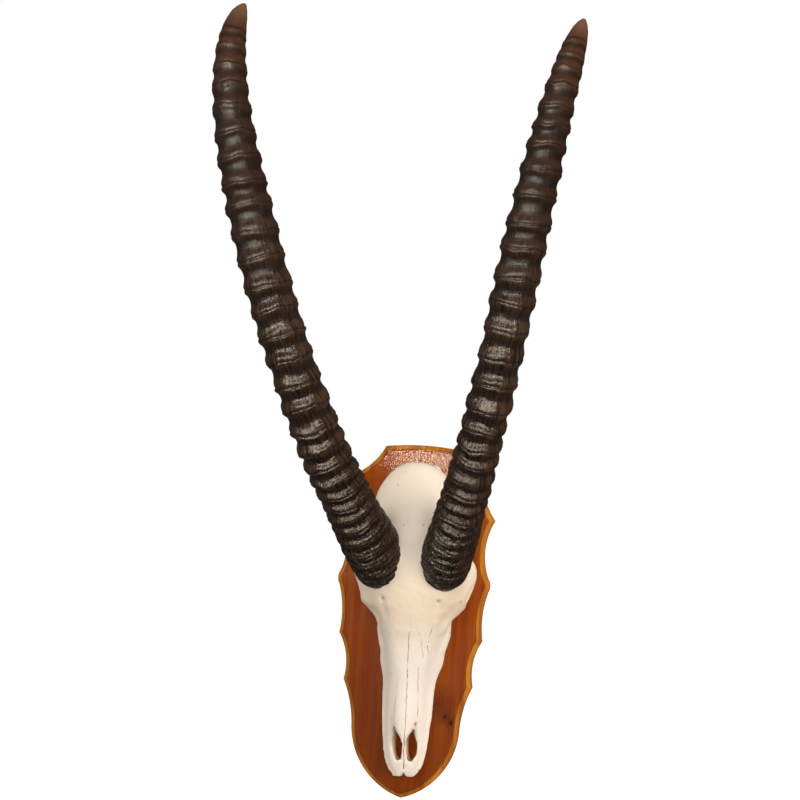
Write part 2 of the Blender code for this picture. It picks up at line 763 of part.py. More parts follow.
def build_fixings(board, finish):
    """The hanger's pocket, then every screw with the hole that it takes in the board."""
    wide, tall = POCKET_SIZE
    cut(board, cutter("hanger_pocket", add_slot, (0.0, 0.0, POCKET_Z), (wide, 2 * POCKET_DEPTH, tall)))
    for name, (z, length) in SKULL_SCREWS.items():
        bm = bmesh.new()
        add_turned(bm, (SKULL_X, z), skull_screw_profile(length))
        bmesh.ops.recalc_face_normals(bm, faces=bm.faces)
        object_from(bm, name, PARTS, finish)
        cut(board, cutter(f"hole_of_{name}", add_turned, (SKULL_X, z), skull_screw_profile(length, GAP)))
    for name, x in HANGER_SCREWS.items():
        bm = bmesh.new()
        add_turned(bm, (x, HANGER_Z), hanger_screw_profile())
        bmesh.ops.recalc_face_normals(bm, faces=bm.faces)
        object_from(bm, name, PARTS, finish)
        cut(board, cutter(f"pilot_of_{name}", add_turned, (x, HANGER_Z), hanger_hole_profile()))


def thin_mesh(mesh, budget):
    """A copy of the mesh with about that many triangles."""
    mesh.calc_loop_triangles()
    obj = bpy.data.objects.new("thinning", mesh.copy())
    PARTS.objects.link(obj)
    thin = obj.modifiers.new("thin", "DECIMATE")
    thin.ratio = min(1.0, budget / len(mesh.loop_triangles))
    thin.use_collapse_triangulate = True
    bpy.context.view_layer.update()
    graph = bpy.context.evaluated_depsgraph_get()
    thinned = bpy.data.meshes.new_from_object(obj.evaluated_get(graph))
    bpy.data.objects.remove(obj, do_unlink=True)
    return thinned


def is_closed(mesh):
    bm = bmesh.new()
    bm.from_mesh(mesh)
    closed = all(edge.is_manifold for edge in bm.edges) and all(vert.is_manifold for vert in bm.verts)
    bm.free()
    return closed


def main():
    clear_scene()
    wood = material("varnished_hardwood", (0.24, 0.062, 0.014), 0.32)
    bone = material("bleached_bone", (0.80, 0.72, 0.60), 0.62)
    keratin = material("horn_keratin", (0.022, 0.013, 0.009), 0.42)
    steel = material("zinc_plated_steel", (0.55, 0.55, 0.54), 0.35, 1.0)
    board = build_board(wood)
    build_fixings(board, steel)
    build_hanger(steel)
    for name, horn in HORNS.items():
        build_horn(name, horn, keratin)
    build_skull(bone)


if __name__ == "__main__":
    main()
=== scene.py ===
"""The finished look of a sable antelope skull mount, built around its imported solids.

Run as a script. Every piece can also be remade from the "Trophy" tab of the 3D view's sidebar.
Places are in metres: +Z up, the board's flat back on y = 0, the skull towards -Y.
"""

import math
from contextlib import contextmanager
from functools import partial

import bmesh
import bpy
import numpy as np
from bpy.props import FloatProperty, FloatVectorProperty, IntProperty, PointerProperty
from mathutils import Matrix, Vector


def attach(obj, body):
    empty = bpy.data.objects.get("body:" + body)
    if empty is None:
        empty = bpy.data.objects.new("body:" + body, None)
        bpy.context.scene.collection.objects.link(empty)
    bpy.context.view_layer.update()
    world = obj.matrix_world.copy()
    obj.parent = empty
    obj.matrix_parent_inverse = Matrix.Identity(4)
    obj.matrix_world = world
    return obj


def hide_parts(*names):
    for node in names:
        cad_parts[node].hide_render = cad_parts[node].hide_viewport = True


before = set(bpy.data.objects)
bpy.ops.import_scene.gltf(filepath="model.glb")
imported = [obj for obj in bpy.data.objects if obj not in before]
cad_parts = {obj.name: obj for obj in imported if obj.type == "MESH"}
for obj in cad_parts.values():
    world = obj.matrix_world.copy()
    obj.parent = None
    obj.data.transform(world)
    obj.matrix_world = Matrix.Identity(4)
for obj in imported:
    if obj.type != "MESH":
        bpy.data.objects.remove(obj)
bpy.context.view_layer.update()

bl_info = {
    "name": "Sable antelope skull mount",
    "version": (1, 0, 0),
    "blender": (4, 5, 0),
    "location": "3D View > Sidebar > Trophy",
    "description": "Builds a skull with ringed horns on a varnished shield board",
    "category": "Object",
}

MM = 0.001
BODY = "root"

# The skull's own measure, as in its solid: x from its middle plane, depth out from the wall, z up. Millimetres.
SKULL_X = 8.0
TOOTH_PLANE = 22.3

# Face and snout: z, half width at the palate, half width on top, palate depth, top depth.
FACE_STATIONS = (
    (-216, 13.0, 9.0, 37, 45),
    (-209, 21.5, 14.5, 36, 49),
    (-198, 27.0, 19.5, 36, 54),
    (-180, 30.6, 23.0, 38, 60),
    (-156, 33.0, 24.0, 41, 68),
    (-132, 35.2, 24.0, 43, 79),
    (-108, 36.0, 23.0, 43, 89),
    (-80, 38.0, 22.0, 42, 99),
    (-60, 44.8, 25.0, 41, 107),
    (-40, 46.0, 29.0, 41, 115),
    (-18, 52.6, 34.0, 42, 124),
    (4, 48.5, 40.0, 46, 132),
    (28, 44.0, 46.0, 56, 138),
    (55, 42.0, 48.0, 62, 142),
    (84, 38.0, 44.0, 66, 142),
)
# The bone isn't quite even: (z, how far its middle lies to the right there). The snout bends a little left.
MIDDLE_STATIONS = (
    (-216, -2.0),
    (-90, -0.6),
    (-70, 0.4),
    (-30, 2.6),
    (7, 3.0),
    (14, 2.2),
    (20, 0.2),
    (30, 2.4),
    (40, 3.2),
    (45, 3.2),
    (80, 2.0),
    (110, 1.0),
)
# Bones of the nose: z, half width, underside depth, top depth.
NOSE_STATIONS = (
    (-60, 17.5, 76, 107.5),
    (-96, 16.5, 72, 96),
    (-130, 15.5, 72, 89),
    (-146, 13.0, 72, 84),
    (-156, 8.5, 72, 81),
    (-163, 4.5, 73, 79.5),
    (-168, 1.5, 75, 78.5),
)
# Shelf of the brow: z, half width, depth of its edge, depth in the middle.
BROW_STATIONS = (
    (-10, 41, 84, 123),
    (0, 42.5, 84, 128),
    (7, 49.5, 85, 131),
    (14, 60.5, 86, 134),
    (19, 68.5, 86.5, 136),
    (24, 71.8, 87, 138),
    (38, 76.4, 88, 142),
    (52, 82.5, 89, 145),
    (68, 85.5, 90, 147),
    (80, 84, 90, 147),
    (94, 72, 90, 144),
    (108, 52, 90, 138),
)
BROW_THICKNESS = 9.0
EYE_Z = 45.0
# Nostrils: z, inner distance from the middle, outer distance on the floor and in front, back and front depth.
NOSTRIL_FLOOR = (
    (-112, 3.0, 9.0, 9.0, 56, 62),
    (-130, 2.6, 12.0, 12.0, 52, 62),
    (-146, 2.6, 13.0, 14.0, 49, 59),
    (-156, 2.6, 13.0, 15.0, 47, 59),
    (-165, 2.8, 13.5, 19.0, 46, 64),
    (-182, 3.2, 13.0, 16.0, 44, 56),
    (-194, 4.2, 10.0, 11.0, 43, 52),
)
NOSTRIL_MOUTH = (
    (-138, 14.4, 15.0, 15.8, 68, 90),
    (-148, 12.0, 13.2, 15.4, 63, 90),
    (-154, 8.6, 12.4, 17.0, 58, 90),
    (-160, 3.6, 13.0, 21.0, 55, 90),
    (-168, 2.8, 13.0, 23.0, 52, 90),
    (-180, 3.0, 12.6, 23.0, 49, 90),
    (-192, 4.2, 9.5, 16.0, 47, 90),
)
SLOT_BEND = 1.3
# The openings through the palate below the nose: side, distance from the middle, half width.
SLOTS = ((-1, 8.5, 5.5), (1, 11.2, 7.6))
# Cheek teeth from front to back: z, distance from the middle, length.
TEETH = (
    (-104, 26.0, 11.5),
    (-90, 27.5, 12.5),
    (-75.5, 29.0, 13.5),
    (-57.5, 31.5, 18.0),
    (-36, 33.0, 20.0),
    (-15, 33.0, 18.0),
)
TOOTH_WIDTH = 13.0

# Horns, as in their solids: lean in degrees at equal shares of the length, forwards and outwards.
# Below its base each sheath runs on over the bone as a skirt that rounds in and ends a little to one side.
HORN_STATIONS = (0.0, 0.25, 0.5, 0.75, 1.0)
HORN_SKIRT = 0.020
SKIRT_ROUNDING = ((1.0, 0.86), (0.94, 0.91), (0.82, 0.94), (0.6, 0.965), (0.3, 0.99))
HORN_FRONT_TO_SIDE = 1.06
HORNS = {
    "horn_right": {
        "base": (0.0550, -0.1264, 0.0810),
        "length": 0.781,
        "side": 1.0,
        "forward": (53.1, 26.2, 12.7, -2.3, -40.1),
        "outward": (12.6, 12.9, 9.7, 10.3, 9.1),
        "girth": 0.962,
        "skirt_shift": -0.004,
    },
    "horn_left": {
        "base": (-0.0341, -0.1264, 0.0816),
        "length": 0.816,
        "side": -1.0,
        "forward": (53.1, 30.2, 12.3, -3.9, -40.3),
        "outward": (12.9, 19.6, 17.0, 13.2, -10.5),
        "girth": 1.031,
        "skirt_shift": -0.005,
    },
}
# Radius of the straight horn on which noise is drawn, and how far apart the foot's fine ridges lie.
STRAIGHT_RADIUS = 0.03
RIDGE_SPACING = 0.0046

# Crests of the rings from the foot up, as shares of the horn's length.
RINGS = {
    "horn_left": (
        0.036, 0.058, 0.084, 0.106, 0.130, 0.152, 0.172, 0.194, 0.223, 0.251, 0.283, 0.321, 0.360, 0.398,
        0.438, 0.474, 0.513, 0.554, 0.594, 0.635, 0.670, 0.708, 0.747, 0.789, 0.824, 0.859, 0.893, 0.922,
    ),
    "horn_right": (
        0.036, 0.054, 0.071, 0.094, 0.113, 0.134, 0.156, 0.181, 0.206, 0.237, 0.264, 0.294, 0.329, 0.371,
        0.413, 0.457, 0.501, 0.540, 0.587, 0.625, 0.670, 0.710, 0.749, 0.781, 0.812, 0.850, 0.880, 0.907, 0.932,
    ),
}
# Radius of a horn between its rings, as (share of the length, radius in metres).
HORN_RADII = (
    (0.00, 0.0366),
    (0.05, 0.0354),
    (0.10, 0.0322),
    (0.15, 0.0299),
    (0.20, 0.0296),
    (0.30, 0.0284),
    (0.40, 0.0277),
    (0.50, 0.0280),
    (0.60, 0.0276),
    (0.70, 0.0255),
    (0.80, 0.0223),
    (0.90, 0.0187),
    (0.94, 0.0158),
    (0.97, 0.0115),
    (0.985, 0.0078),
    (0.995, 0.0044),
    (1.00, 0.0022),
)
# One ring from its crest up to the next: the round lip with a notch above it, the belly, the valley, the rise.
RING_PROFILE = (
    (0.0, 1.0),
    (0.035, 0.94),
    (0.06, 0.79),
    (0.09, 0.80),
    (0.145, 0.92),
    (0.22, 0.84),
    (0.32, 0.54),
    (0.45, 0.16),
    (0.58, 0.0),
    (0.70, 0.04),
    (0.79, 0.22),
    (0.86, 0.54),
    (0.91, 0.84),
    (0.96, 0.98),
    (1.0, 1.0),
)

# Seams of the skull seen from the front, as points of x and z in the skull's own measure.
SEAMS = {
    "between the foreheads": ((6.3, 34), (6.4, 14), (5.7, 4), (5.4, -13)),
    "between the nose bones": ((5.2, -13), (4.3, -22), (3.1, -43), (2.6, -67), (2.5, -92), (2.4, -118), (2.0, -137),
                               (0.9, -159), (-0.6, -170)),
    "between the muzzle bones": ((-0.6, -170), (-1.6, -182), (-1.2, -194), (-1.3, -202), (-1.3, -217)),
    "over the right nose bone": ((5.2, -14), (9.7, -12.2), (16.4, -13.4), (19.9, -17.5), (21.2, -26.2), (22.5, -38.4),
                                 (23.5, -47.2)),
    "over the left nose bone": ((5.2, -14), (1.5, -12.4), (-5.8, -10.1), (-10.9, -12.7), (-11.9, -24)),
    "beside the left nose bone": ((-11.2, -78), (-11.4, -86), (-12.0, -97), (-13.1, -109), (-13.7, -117),
                                  (-13.9, -131)),
    "beside the right nose bone": ((17.0, -62), (16.8, -81), (17.5, -91), (17.3, -109), (17.4, -123), (16.4, -130)),
    "upper crack": ((34.7, -6.7), (32.6, -15.4), (30.9, -22.4)),
    "lower crack": ((29.2, -31.4), (28.6, -35), (29.8, -40.5)),
    "right muzzle bone": ((18.6, -137.5), (22.0, -135.4), (25.5, -137), (29.5, -141.5), (32.0, -144)),
    "left muzzle bone": ((-17.4, -139.5), (-20.0, -134.6), (-24.5, -136), (-29.5, -141), (-32.0, -145)),
    "right rim": ((65.8, 26.6), (68.0, 28.6), (70.6, 31.5)),
}
# How dark and deep each seam is, where it isn't 1.
SEAM_STRENGTH = {
    "between the foreheads": 0.3,
    "over the right nose bone": 0.6,
    "over the left nose bone": 0.45,
    "beside the left nose bone": 0.6,
    "beside the right nose bone": 0.7,
    "upper crack": 0.7,
    "lower crack": 0.8,
    "right muzzle bone": 0.5,
    "left muzzle bone": 0.3,
    "right rim": 0.5,
}
# Small holes and dents of the front: x, z, radius, depth, all in millimetres.
PITS = (
    (-33.0, 28.0, 2.3, 3.2),
    (42.9, 28.0, 2.4, 3.4),
    (69.2, 29.5, 1.8, 0.4),
    (-24.3, 181.5, 1.6, 0.8),
    (-9.5, 128.0, 1.3, 0.6),
    (17.2, 129.7, 1.5, 0.8),
    (-21.3, -72.0, 1.2, 0.5),
    (30.4, -26.5, 1.0, 0.6),
)
# Grooves, as (line, half width, depth): one down from each hole over the eyes, and the cleft of the muzzle.
GROOVES = (
    (((-32.8, 27), (-31.4, 20), (-29.0, 8)), 4.2, 1.7),
    (((42.7, 27), (41.4, 20), (39.5, 6)), 4.2, 1.5),
    (((66, 38), (64.5, 26), (58, 14)), 3.0, 0.8),
    (((-1.2, -192), (-1.3, -203), (-1.3, -212)), 0.9, 2.6),
)

# Shield board: right half of its outline from the top middle to the point, in metres.
# Each stretch is (x, z of its end, bulge): an arc that stands out by the bulge, or in where it is negative.
BOARD_THICKNESS = 0.022
BOARD_TOP = 0.241
BOARD_STRETCHES = (
    (0.0500, 0.2375, 0.0008),
    (0.0920, 0.1960, -0.0048),
    (0.1095, 0.1410, -0.0055),
    (0.1040, 0.0600, -0.0090),
    (0.1050, 0.0400, 0.0030),
    (0.1008, -0.0275, -0.0040),
    (0.0908, -0.0920, -0.0065),
    (0.0756, -0.1540, -0.0033),
    (0.0000, -0.2502, 0.0200),
)
# Routed edge from the back corner to the face: (how far in, depth from the wall), in millimetres.
BOARD_PROFILE = (
    (0.4, 0.0),
    (0.1, 0.15),
    (0.0, 0.5),
    (0.0, 10.2),
    (0.15, 11.4),
    (0.5, 12.4),
    (1.2, 13.7),
    (2.2, 14.8),
    (3.2, 15.6),
    (4.3, 16.3),
    (5.2, 16.8),
    (5.6, 17.4),
    (6.0, 18.6),
    (6.25, 19.6),
    (6.5, 19.95),
    (7.0, 20.05),
    (7.5, 20.15),
    (7.72, 20.5),
    (7.9, 21.4),
    (8.2, 21.85),
    (8.8, 22.0),
)
# Knots of the board: x, z, radius, how dark their hearts are. The last is only a dark patch of grain.
KNOTS = (
    (0.0570, -0.1335, 0.0026, 0.85),
    (0.0650, -0.1415, 0.0026, 0.95),
    (0.0500, -0.1150, 0.0060, 0.15),
)
POCKET_Z = 0.190
POCKET_SIZE = (0.086, 0.024)
POCKET_DEPTH = 0.0045
SKULL_SCREW_Z = (-0.020, 0.152)
HANGER_Z = 0.192
HANGER_SCREW_X = 0.0265
FIXINGS = ("hanger", "hanger_screw_left", "hanger_screw_right", "skull_screw_lower", "skull_screw_upper")

# The stage: the floor's height, where the camera stands, and what it looks at.
FLOOR_Z = -0.62
CAMERA_PLACE = (0.29986, -2.39085, 0.13538)
CAMERA_TARGET = (-0.0333, -0.02, 0.3028)


@contextmanager
def opened(mesh):
    """Opens a mesh for changes, and writes them into it."""
    bm = bmesh.new()
    bm.from_mesh(mesh)
    yield bm
    bm.to_mesh(mesh)
    bm.free()


def put(name, data):
    """A new object in the scene."""
    obj = bpy.data.objects.new(name, data)
    bpy.context.scene.collection.objects.link(obj)
    return obj


def colour(code):
    """A hex sRGB colour as the linear values that a shader takes."""
    parts = [int(code[i : i + 2], 16) / 255 for i in (1, 3, 5)]
    return tuple(c / 12.92 if c <= 0.04045 else ((c + 0.055) / 1.055) ** 2.4 for c in parts) + (1.0,)


def lean_at(values, share):
    """The smooth curve through a lean at each station, read at a share of the horn's length."""
    total = 0.0
    for index, value in enumerate(values):
        weight = 1.0
        for other, station in enumerate(HORN_STATIONS):
            if other != index:
                weight *= (share - station) / (HORN_STATIONS[index] - station)
        total += value * weight
    return math.radians(total)


def horn_direction(horn, share):
    forward = lean_at(horn["forward"], share)
    outward = lean_at(horn["outward"], share)
    return Vector(
        (
            horn["side"] * math.sin(outward),
            -math.cos(outward) * math.sin(forward),
            math.cos(outward) * math.cos(forward),
        )
    )


class Solid:
    """A block of space in small cells, each holding its distance to the bone in millimetres."""

    def __init__(self, low, high, step):
        self.low, self.step = low, step
        counts = [int((b - a) / step) + 1 for a, b in zip(low, high)]
        self.axes = [a + step * np.arange(n, dtype=np.float32) for a, n in zip(low, counts)]
        self.value = np.full(counts, 50.0, np.float32)

    def window(self, low, high):
        """The cells between two corners, and their coordinates."""
        spans = []
        for axis, a, b in zip(self.axes, low, high):
            first = int(np.clip((a - axis[0]) / self.step, 0, len(axis) - 1))
            last = int(np.clip((b - axis[0]) / self.step + 2, 1, len(axis)))
            spans.append(slice(first, last))
        x, d, z = (axis[span] for axis, span in zip(self.axes, spans))
        return tuple(spans), x[:, None, None], d[None, :, None], z[None, None, :]

    def add(self, form, blend, sign=1):
        """Joins a form on, with a fillet about as wide as the blend. A sign of -1 takes it away."""
        low, high, distance = form
        spans, x, d, z = self.window([a - blend for a in low], [b + blend for b in high])
        here, new = self.value[spans], sign * distance(x, d, z)
        share = np.clip(0.5 + sign * 0.5 * (new - here) / blend, 0, 1)
        self.value[spans] = new + (here - new) * share - sign * blend * share * (1 - share)

    def cut(self, form, blend):
        """Takes a form away, with its edge rounded by the blend."""
        self.add(form, blend, -1)


def ball(centre, radii, tilt=0.0):
    """A stretched ball, tilted by degrees about the sideways axis."""
    c, s = math.cos(math.radians(tilt)), math.sin(math.radians(tilt))

    def distance(x, d, z):
        x, d, z = x - centre[0], d - centre[1], z - centre[2]
        local = (x, s * z - c * d, s * d + c * z)
        near = np.sqrt(sum((v / r) ** 2 for v, r in zip(local, radii)))
        slope = np.sqrt(sum((v / r**2) ** 2 for v, r in zip(local, radii)))
        return near * (near - 1) / np.maximum(slope, 1e-6)

    reach = (radii[0], max(radii[1:]), max(radii[1:])) if tilt else radii
    return [a - r for a, r in zip(centre, reach)], [a + r for a, r in zip(centre, reach)], distance


def limb(stations, flatten=1.0):
    """A bone through stations of x, depth, z and radius, pressed flat in depth."""

    def distance(x, d, z):
        best = None
        for a, b in zip(stations, stations[1:]):
            along = [q - p for p, q in zip(a[:3], b[:3])]
            length = sum(v * v for v in along)
            share = ((x - a[0]) * along[0] + (d - a[1]) * along[1] + (z - a[2]) * along[2]) / length
            share = np.clip(share, 0, 1)
            off = (x - a[0] - share * along[0], (d - a[1] - share * along[1]) / flatten, z - a[2] - share * along[2])
            here = np.sqrt(sum(v * v for v in off)) - a[3] - share * (b[3] - a[3])
            best = here if best is None else np.minimum(best, here)
        return best * min(1.0, flatten)

    low = [min(row[i] - row[3] * max(1.0, flatten) for row in stations) for i in range(3)]
    high = [max(row[i] + row[3] * max(1.0, flatten) for row in stations) for i in range(3)]
    return low, high, distance


def rim(centre, normal, radius, thickness):
    """A ring of bone round an eye socket."""
    size = math.sqrt(sum(v * v for v in normal))
    nx, nd, nz = (v / size for v in normal)

    def distance(x, d, z):
        x, d, z = x - centre[0], d - centre[1], z - centre[2]
        out = x * nx + d * nd + z * nz
        flat = np.sqrt(np.maximum((x - out * nx) ** 2 + (d - out * nd) ** 2 + (z - out * nz) ** 2, 0))
        return np.sqrt((flat - radius) ** 2 + out**2) - thickness

    reach = radius + thickness
    return [v - reach for v in centre], [v + reach for v in centre], distance


def block(centre, size, rounding):
    """A box with rounded edges."""

    def distance(x, d, z):
        over = [np.abs(v - c) - s / 2 + rounding for v, c, s in zip((x, d, z), centre, size)]
        outside = np.sqrt(sum(np.maximum(v, 0) ** 2 for v in over))
        return outside + np.minimum(np.maximum(np.maximum(over[0], over[1]), over[2]), 0) - rounding

    return [c - s / 2 for c, s in zip(centre, size)], [c + s / 2 for c, s in zip(centre, size)], distance


def round_corners(points, times=2):
    """The closed outline with its corners cut off and cut off again."""
    for _ in range(times):
        after = np.roll(points, -1, axis=0)
        points = np.stack([0.75 * points + 0.25 * after, 0.25 * points + 0.75 * after], 1).reshape(-1, 2)
    return points


def stations_at(stations, z, ease):
    """Each column of a station table at height z, with its bends eased over that many millimetres."""
    table = np.array(sorted(stations), float)
    kernel = np.hanning(9)[1:-1]
    shifts = np.linspace(-ease, ease, 7)
    rows = []
    for column in range(1, table.shape[1]):
        values = [np.interp(z + s, table[:, 0], table[:, column]) for s in shifts]
        rows.append(float(np.dot(values, kernel) / kernel.sum()))
    return rows


def loft(stations, outline, ease=9.0, bend=None, corners=2):
    """A body whose outline at each height comes from its stations."""
    table = np.array(stations, float)
    low_z, high_z = table[:, 0].min(), table[:, 0].max()
    wide = table[:, 1:3].max() + 8

    def distance(x, d, z):
        flat_x, flat_d = (v.reshape(-1) for v in np.broadcast_arrays(x[:, :, 0], d[:, :, 0]))
        out = np.empty((x.shape[0], d.shape[1], z.shape[2]), np.float32)
        for index, height in enumerate(z.reshape(-1)):
            at = float(np.clip(height, low_z, high_z))
            shape = round_corners(np.array(outline(stations_at(stations, at, ease))), corners)
            if bend:
                shape[:, 0] += bend(at)
            here = outline_distance(flat_x, flat_d, shape)
            past = max(low_z - height, height - high_z)
            here = np.maximum(here, past) if past <= 0 else np.hypot(np.maximum(here, 0), past)
            out[:, :, index] = here.reshape(out.shape[:2])
        return out

    return [-wide, 20, low_z], [wide, 152, high_z], distance


def outline_distance(px, py, shape):
    """Signed distance from points to a closed outline, inside below zero."""
    best = np.full(px.shape, 1e9)
    inside = np.zeros(px.shape, bool)
    for (ax, ay), (bx, by) in zip(shape, np.roll(shape, -1, axis=0)):
        ex, ey = bx - ax, by - ay
        wx, wy = px - ax, py - ay
        share = np.clip((wx * ex + wy * ey) / (ex * ex + ey * ey + 1e-12), 0, 1)
        best = np.minimum(best, (wx - ex * share) ** 2 + (wy - ey * share) ** 2)
        crosses = (ay > py) != (by > py)
        inside ^= crosses & (px < ax + (py - ay) * ex / (ey if ey else 1e-12))
    return np.where(inside, -1, 1) * np.sqrt(best)


def both_sides(right, middle=()):
    """A symmetric outline from its right half, with any points on the middle line."""
    return list(right) + list(middle) + [(-x, depth) for x, depth in reversed(right)]


def face_outline(row):
    half_low, half_top, low, top = row
    shoulder = top - 0.16 * (top - low)
    return both_sides(
        [
            (0.55 * half_low, low),
            (0.94 * half_low, low + 2),
            (half_low, low + 12),
            (0.45 * half_low + 0.55 * half_top, 0.45 * low + 0.55 * shoulder),
            (half_top, shoulder),
            (0.74 * half_top, 0.33 * shoulder + 0.67 * top),
            (0.36 * half_top, 0.06 * shoulder + 0.94 * top),
        ]
    )


def brow_outline(row):
    half, edge, middle = row
    rise = middle - edge
    right = [
        (0.34 * half, edge + 0.94 * rise),
        (0.60 * half, edge + 0.73 * rise),
        (0.82 * half, edge + 0.42 * rise),
        (0.96 * half, edge + 0.11 * rise),
        (1.01 * half, edge - 0.4 * BROW_THICKNESS),
        (0.94 * half, edge - BROW_THICKNESS),
        (0.60 * half, edge - BROW_THICKNESS),
    ]
    return both_sides(right[::-1])


def nose_outline(row):
    half, low, top = row
    right = [(half, low), (half, 0.45 * low + 0.55 * top), (0.62 * half, 0.12 * low + 0.88 * top)]
    return [(x - SLOT_BEND, depth) for x, depth in both_sides(right, [(0.0, top - 0.4)])]


def nostril(stations, side):
    def outline(row):
        inner, floor, lip, back, front = row
        corners = ((inner, back), (floor, back), (lip, front), (inner, front))
        return [(x * side - SLOT_BEND, depth) for x, depth in corners]

    return loft(stations, outline, ease=4.0, corners=1)


def horn_spine(horn, steps=200):
    """Points and directions along a horn: the straight skirt over the bone, then the curve."""
    start = Vector(horn["base"])
    direction = horn_direction(horn, 0.0)
    end = direction * -HORN_SKIRT + Vector((horn["skirt_shift"], 0.0, 0.0))
    points = [start + end * reach for reach, _ in SKIRT_ROUNDING] + [start]
    for index in range(steps):
        points.append(points[-1] + horn_direction(horn, (index + 0.5) / steps) * (horn["length"] / steps))
    lengths = [-HORN_SKIRT * reach for reach, _ in SKIRT_ROUNDING]
    lengths += [horn["length"] * i / steps for i in range(steps + 1)]
    return np.array(lengths), np.array(points)


def middle_at(z):
    """How far the bone's middle lies to the right at that height, in millimetres."""
    return float(np.interp(z, *zip(*MIDDLE_STATIONS)))


def skull_solid(step):
    """Every bone of the skull, joined with soft fillets, then its hollows."""
    skull = Solid((-94, 19, -222), (94, 170, 224), step)
    shift = middle_at(EYE_Z)
    skull.add(ball((-1, 72, 140), (60, 50, 76), 12), 1)
    skull.add(ball((1, 106, 84), (52, 38, 58), 24), 18)
    skull.add(ball((0, 94, 132), (50, 35, 52), 8), 14)
    skull.add(limb(((0, 44, 190, 15), (0, 46, 150, 16), (0, 52, 100, 17), (0, 62, 50, 22))), 6)
    skull.add(loft(FACE_STATIONS, face_outline, bend=middle_at), 10)
    skull.add(loft(NOSE_STATIONS, nose_outline, ease=5.0), 3)
    skull.add(loft(BROW_STATIONS, brow_outline, bend=middle_at), 12)
    for side in (-1, 1):
        skull.add(rim((71.5 * side + shift, 73, EYE_Z), (0.93 * side, 0.05, -0.30), 23.0, 4.5), 5)
        skull.add(ball((51 * side + shift, 74, 25), (15, 22, 18)), 8)
        cheek = ((37, 62, -34, 8.5), (40.5, 62, -12, 8.5), (43, 60, 6, 8), (57, 58, 26, 7))
        arch = ((68, 55, 56, 6.5), (68, 54, 92, 6.5), (58, 56, 130, 9))
        skull.add(limb([(x * side + middle_at(z), depth, z, size) for x, depth, z, size in cheek + arch], 0.9), 7)
        skull.add(limb(((34 * side + shift, 84, 0, 14), (48 * side + shift, 76, 16, 10))), 9)
        skull.add(limb(((46 * side, 50, 172, 9), (44 * side, 34, 176, 7), (42 * side, 28, 178, 5))), 6)
        skull.add(ball((25 * side, 40, 146), (11, 13, 16)), 4)
        skull.add(ball((15 * side, 42, 202), (12, 13, 11)), 9)
        skull.add(limb(((16 * side, 48, 60, 6), (15 * side, 42, 82, 5), (15 * side, 50, 104, 5))), 4)
        horn = HORNS["horn_right" if side > 0 else "horn_left"]
        seat = Vector(horn["base"]) / MM
        root = seat - horn_direction(horn, 0.0) * 50
        skull.add(limb(((root.x - SKULL_X, -root.y, root.z, 30), (seat.x - SKULL_X, -seat.y, seat.z, 31))), 10)
        for z, x, length in TEETH:
            for lobe in (-0.25, 0.25):
                place = (x * side + middle_at(z), TOOTH_PLANE + 15, z + lobe * length)
                skull.add(block(place, (TOOTH_WIDTH, 30, length * 0.5), 2.2), 1.5)
    for side in (-1, 1):
        skull.cut(ball((77.5 * side + shift, 72, EYE_Z - 1), (38, 21, 21)), 3)
        skull.cut(limb(((62 * side, 74, 92, 9), (63 * side, 70, 118, 10)), 1.9), 6)
        skull.cut(nostril(NOSTRIL_FLOOR, side), 1.5)
        skull.cut(nostril(NOSTRIL_MOUTH, side), 2.5)
    for side, x, half in SLOTS:
        slot = x * side - SLOT_BEND
        stations = ((slot - 0.8 * side, 20, -192, 0.45 * half), (slot, 20, -182, 0.9 * half), (slot, 20, -168, half),
                    (slot - 0.8 * side, 20, -157, 0.75 * half))
        skull.cut(limb(stations, 9), 1.2)
    notch = ((42, -226, 4.6), (42, -214, 2.5), (43, -204, 1.4), (44, -197, 0.9))
    skull.cut(limb([(-SLOT_BEND, depth, z, size) for depth, z, size in notch], 2.0), 1.0)
    skull.cut(limb(((0, 44, 225, 13), (0, 56, 180, 13))), 3)
    skull.cut(([-94, 19, -222], [94, 23, 224], lambda x, d, z: d - TOOTH_PLANE + 0 * x + 0 * z), 0.5)
    return skull


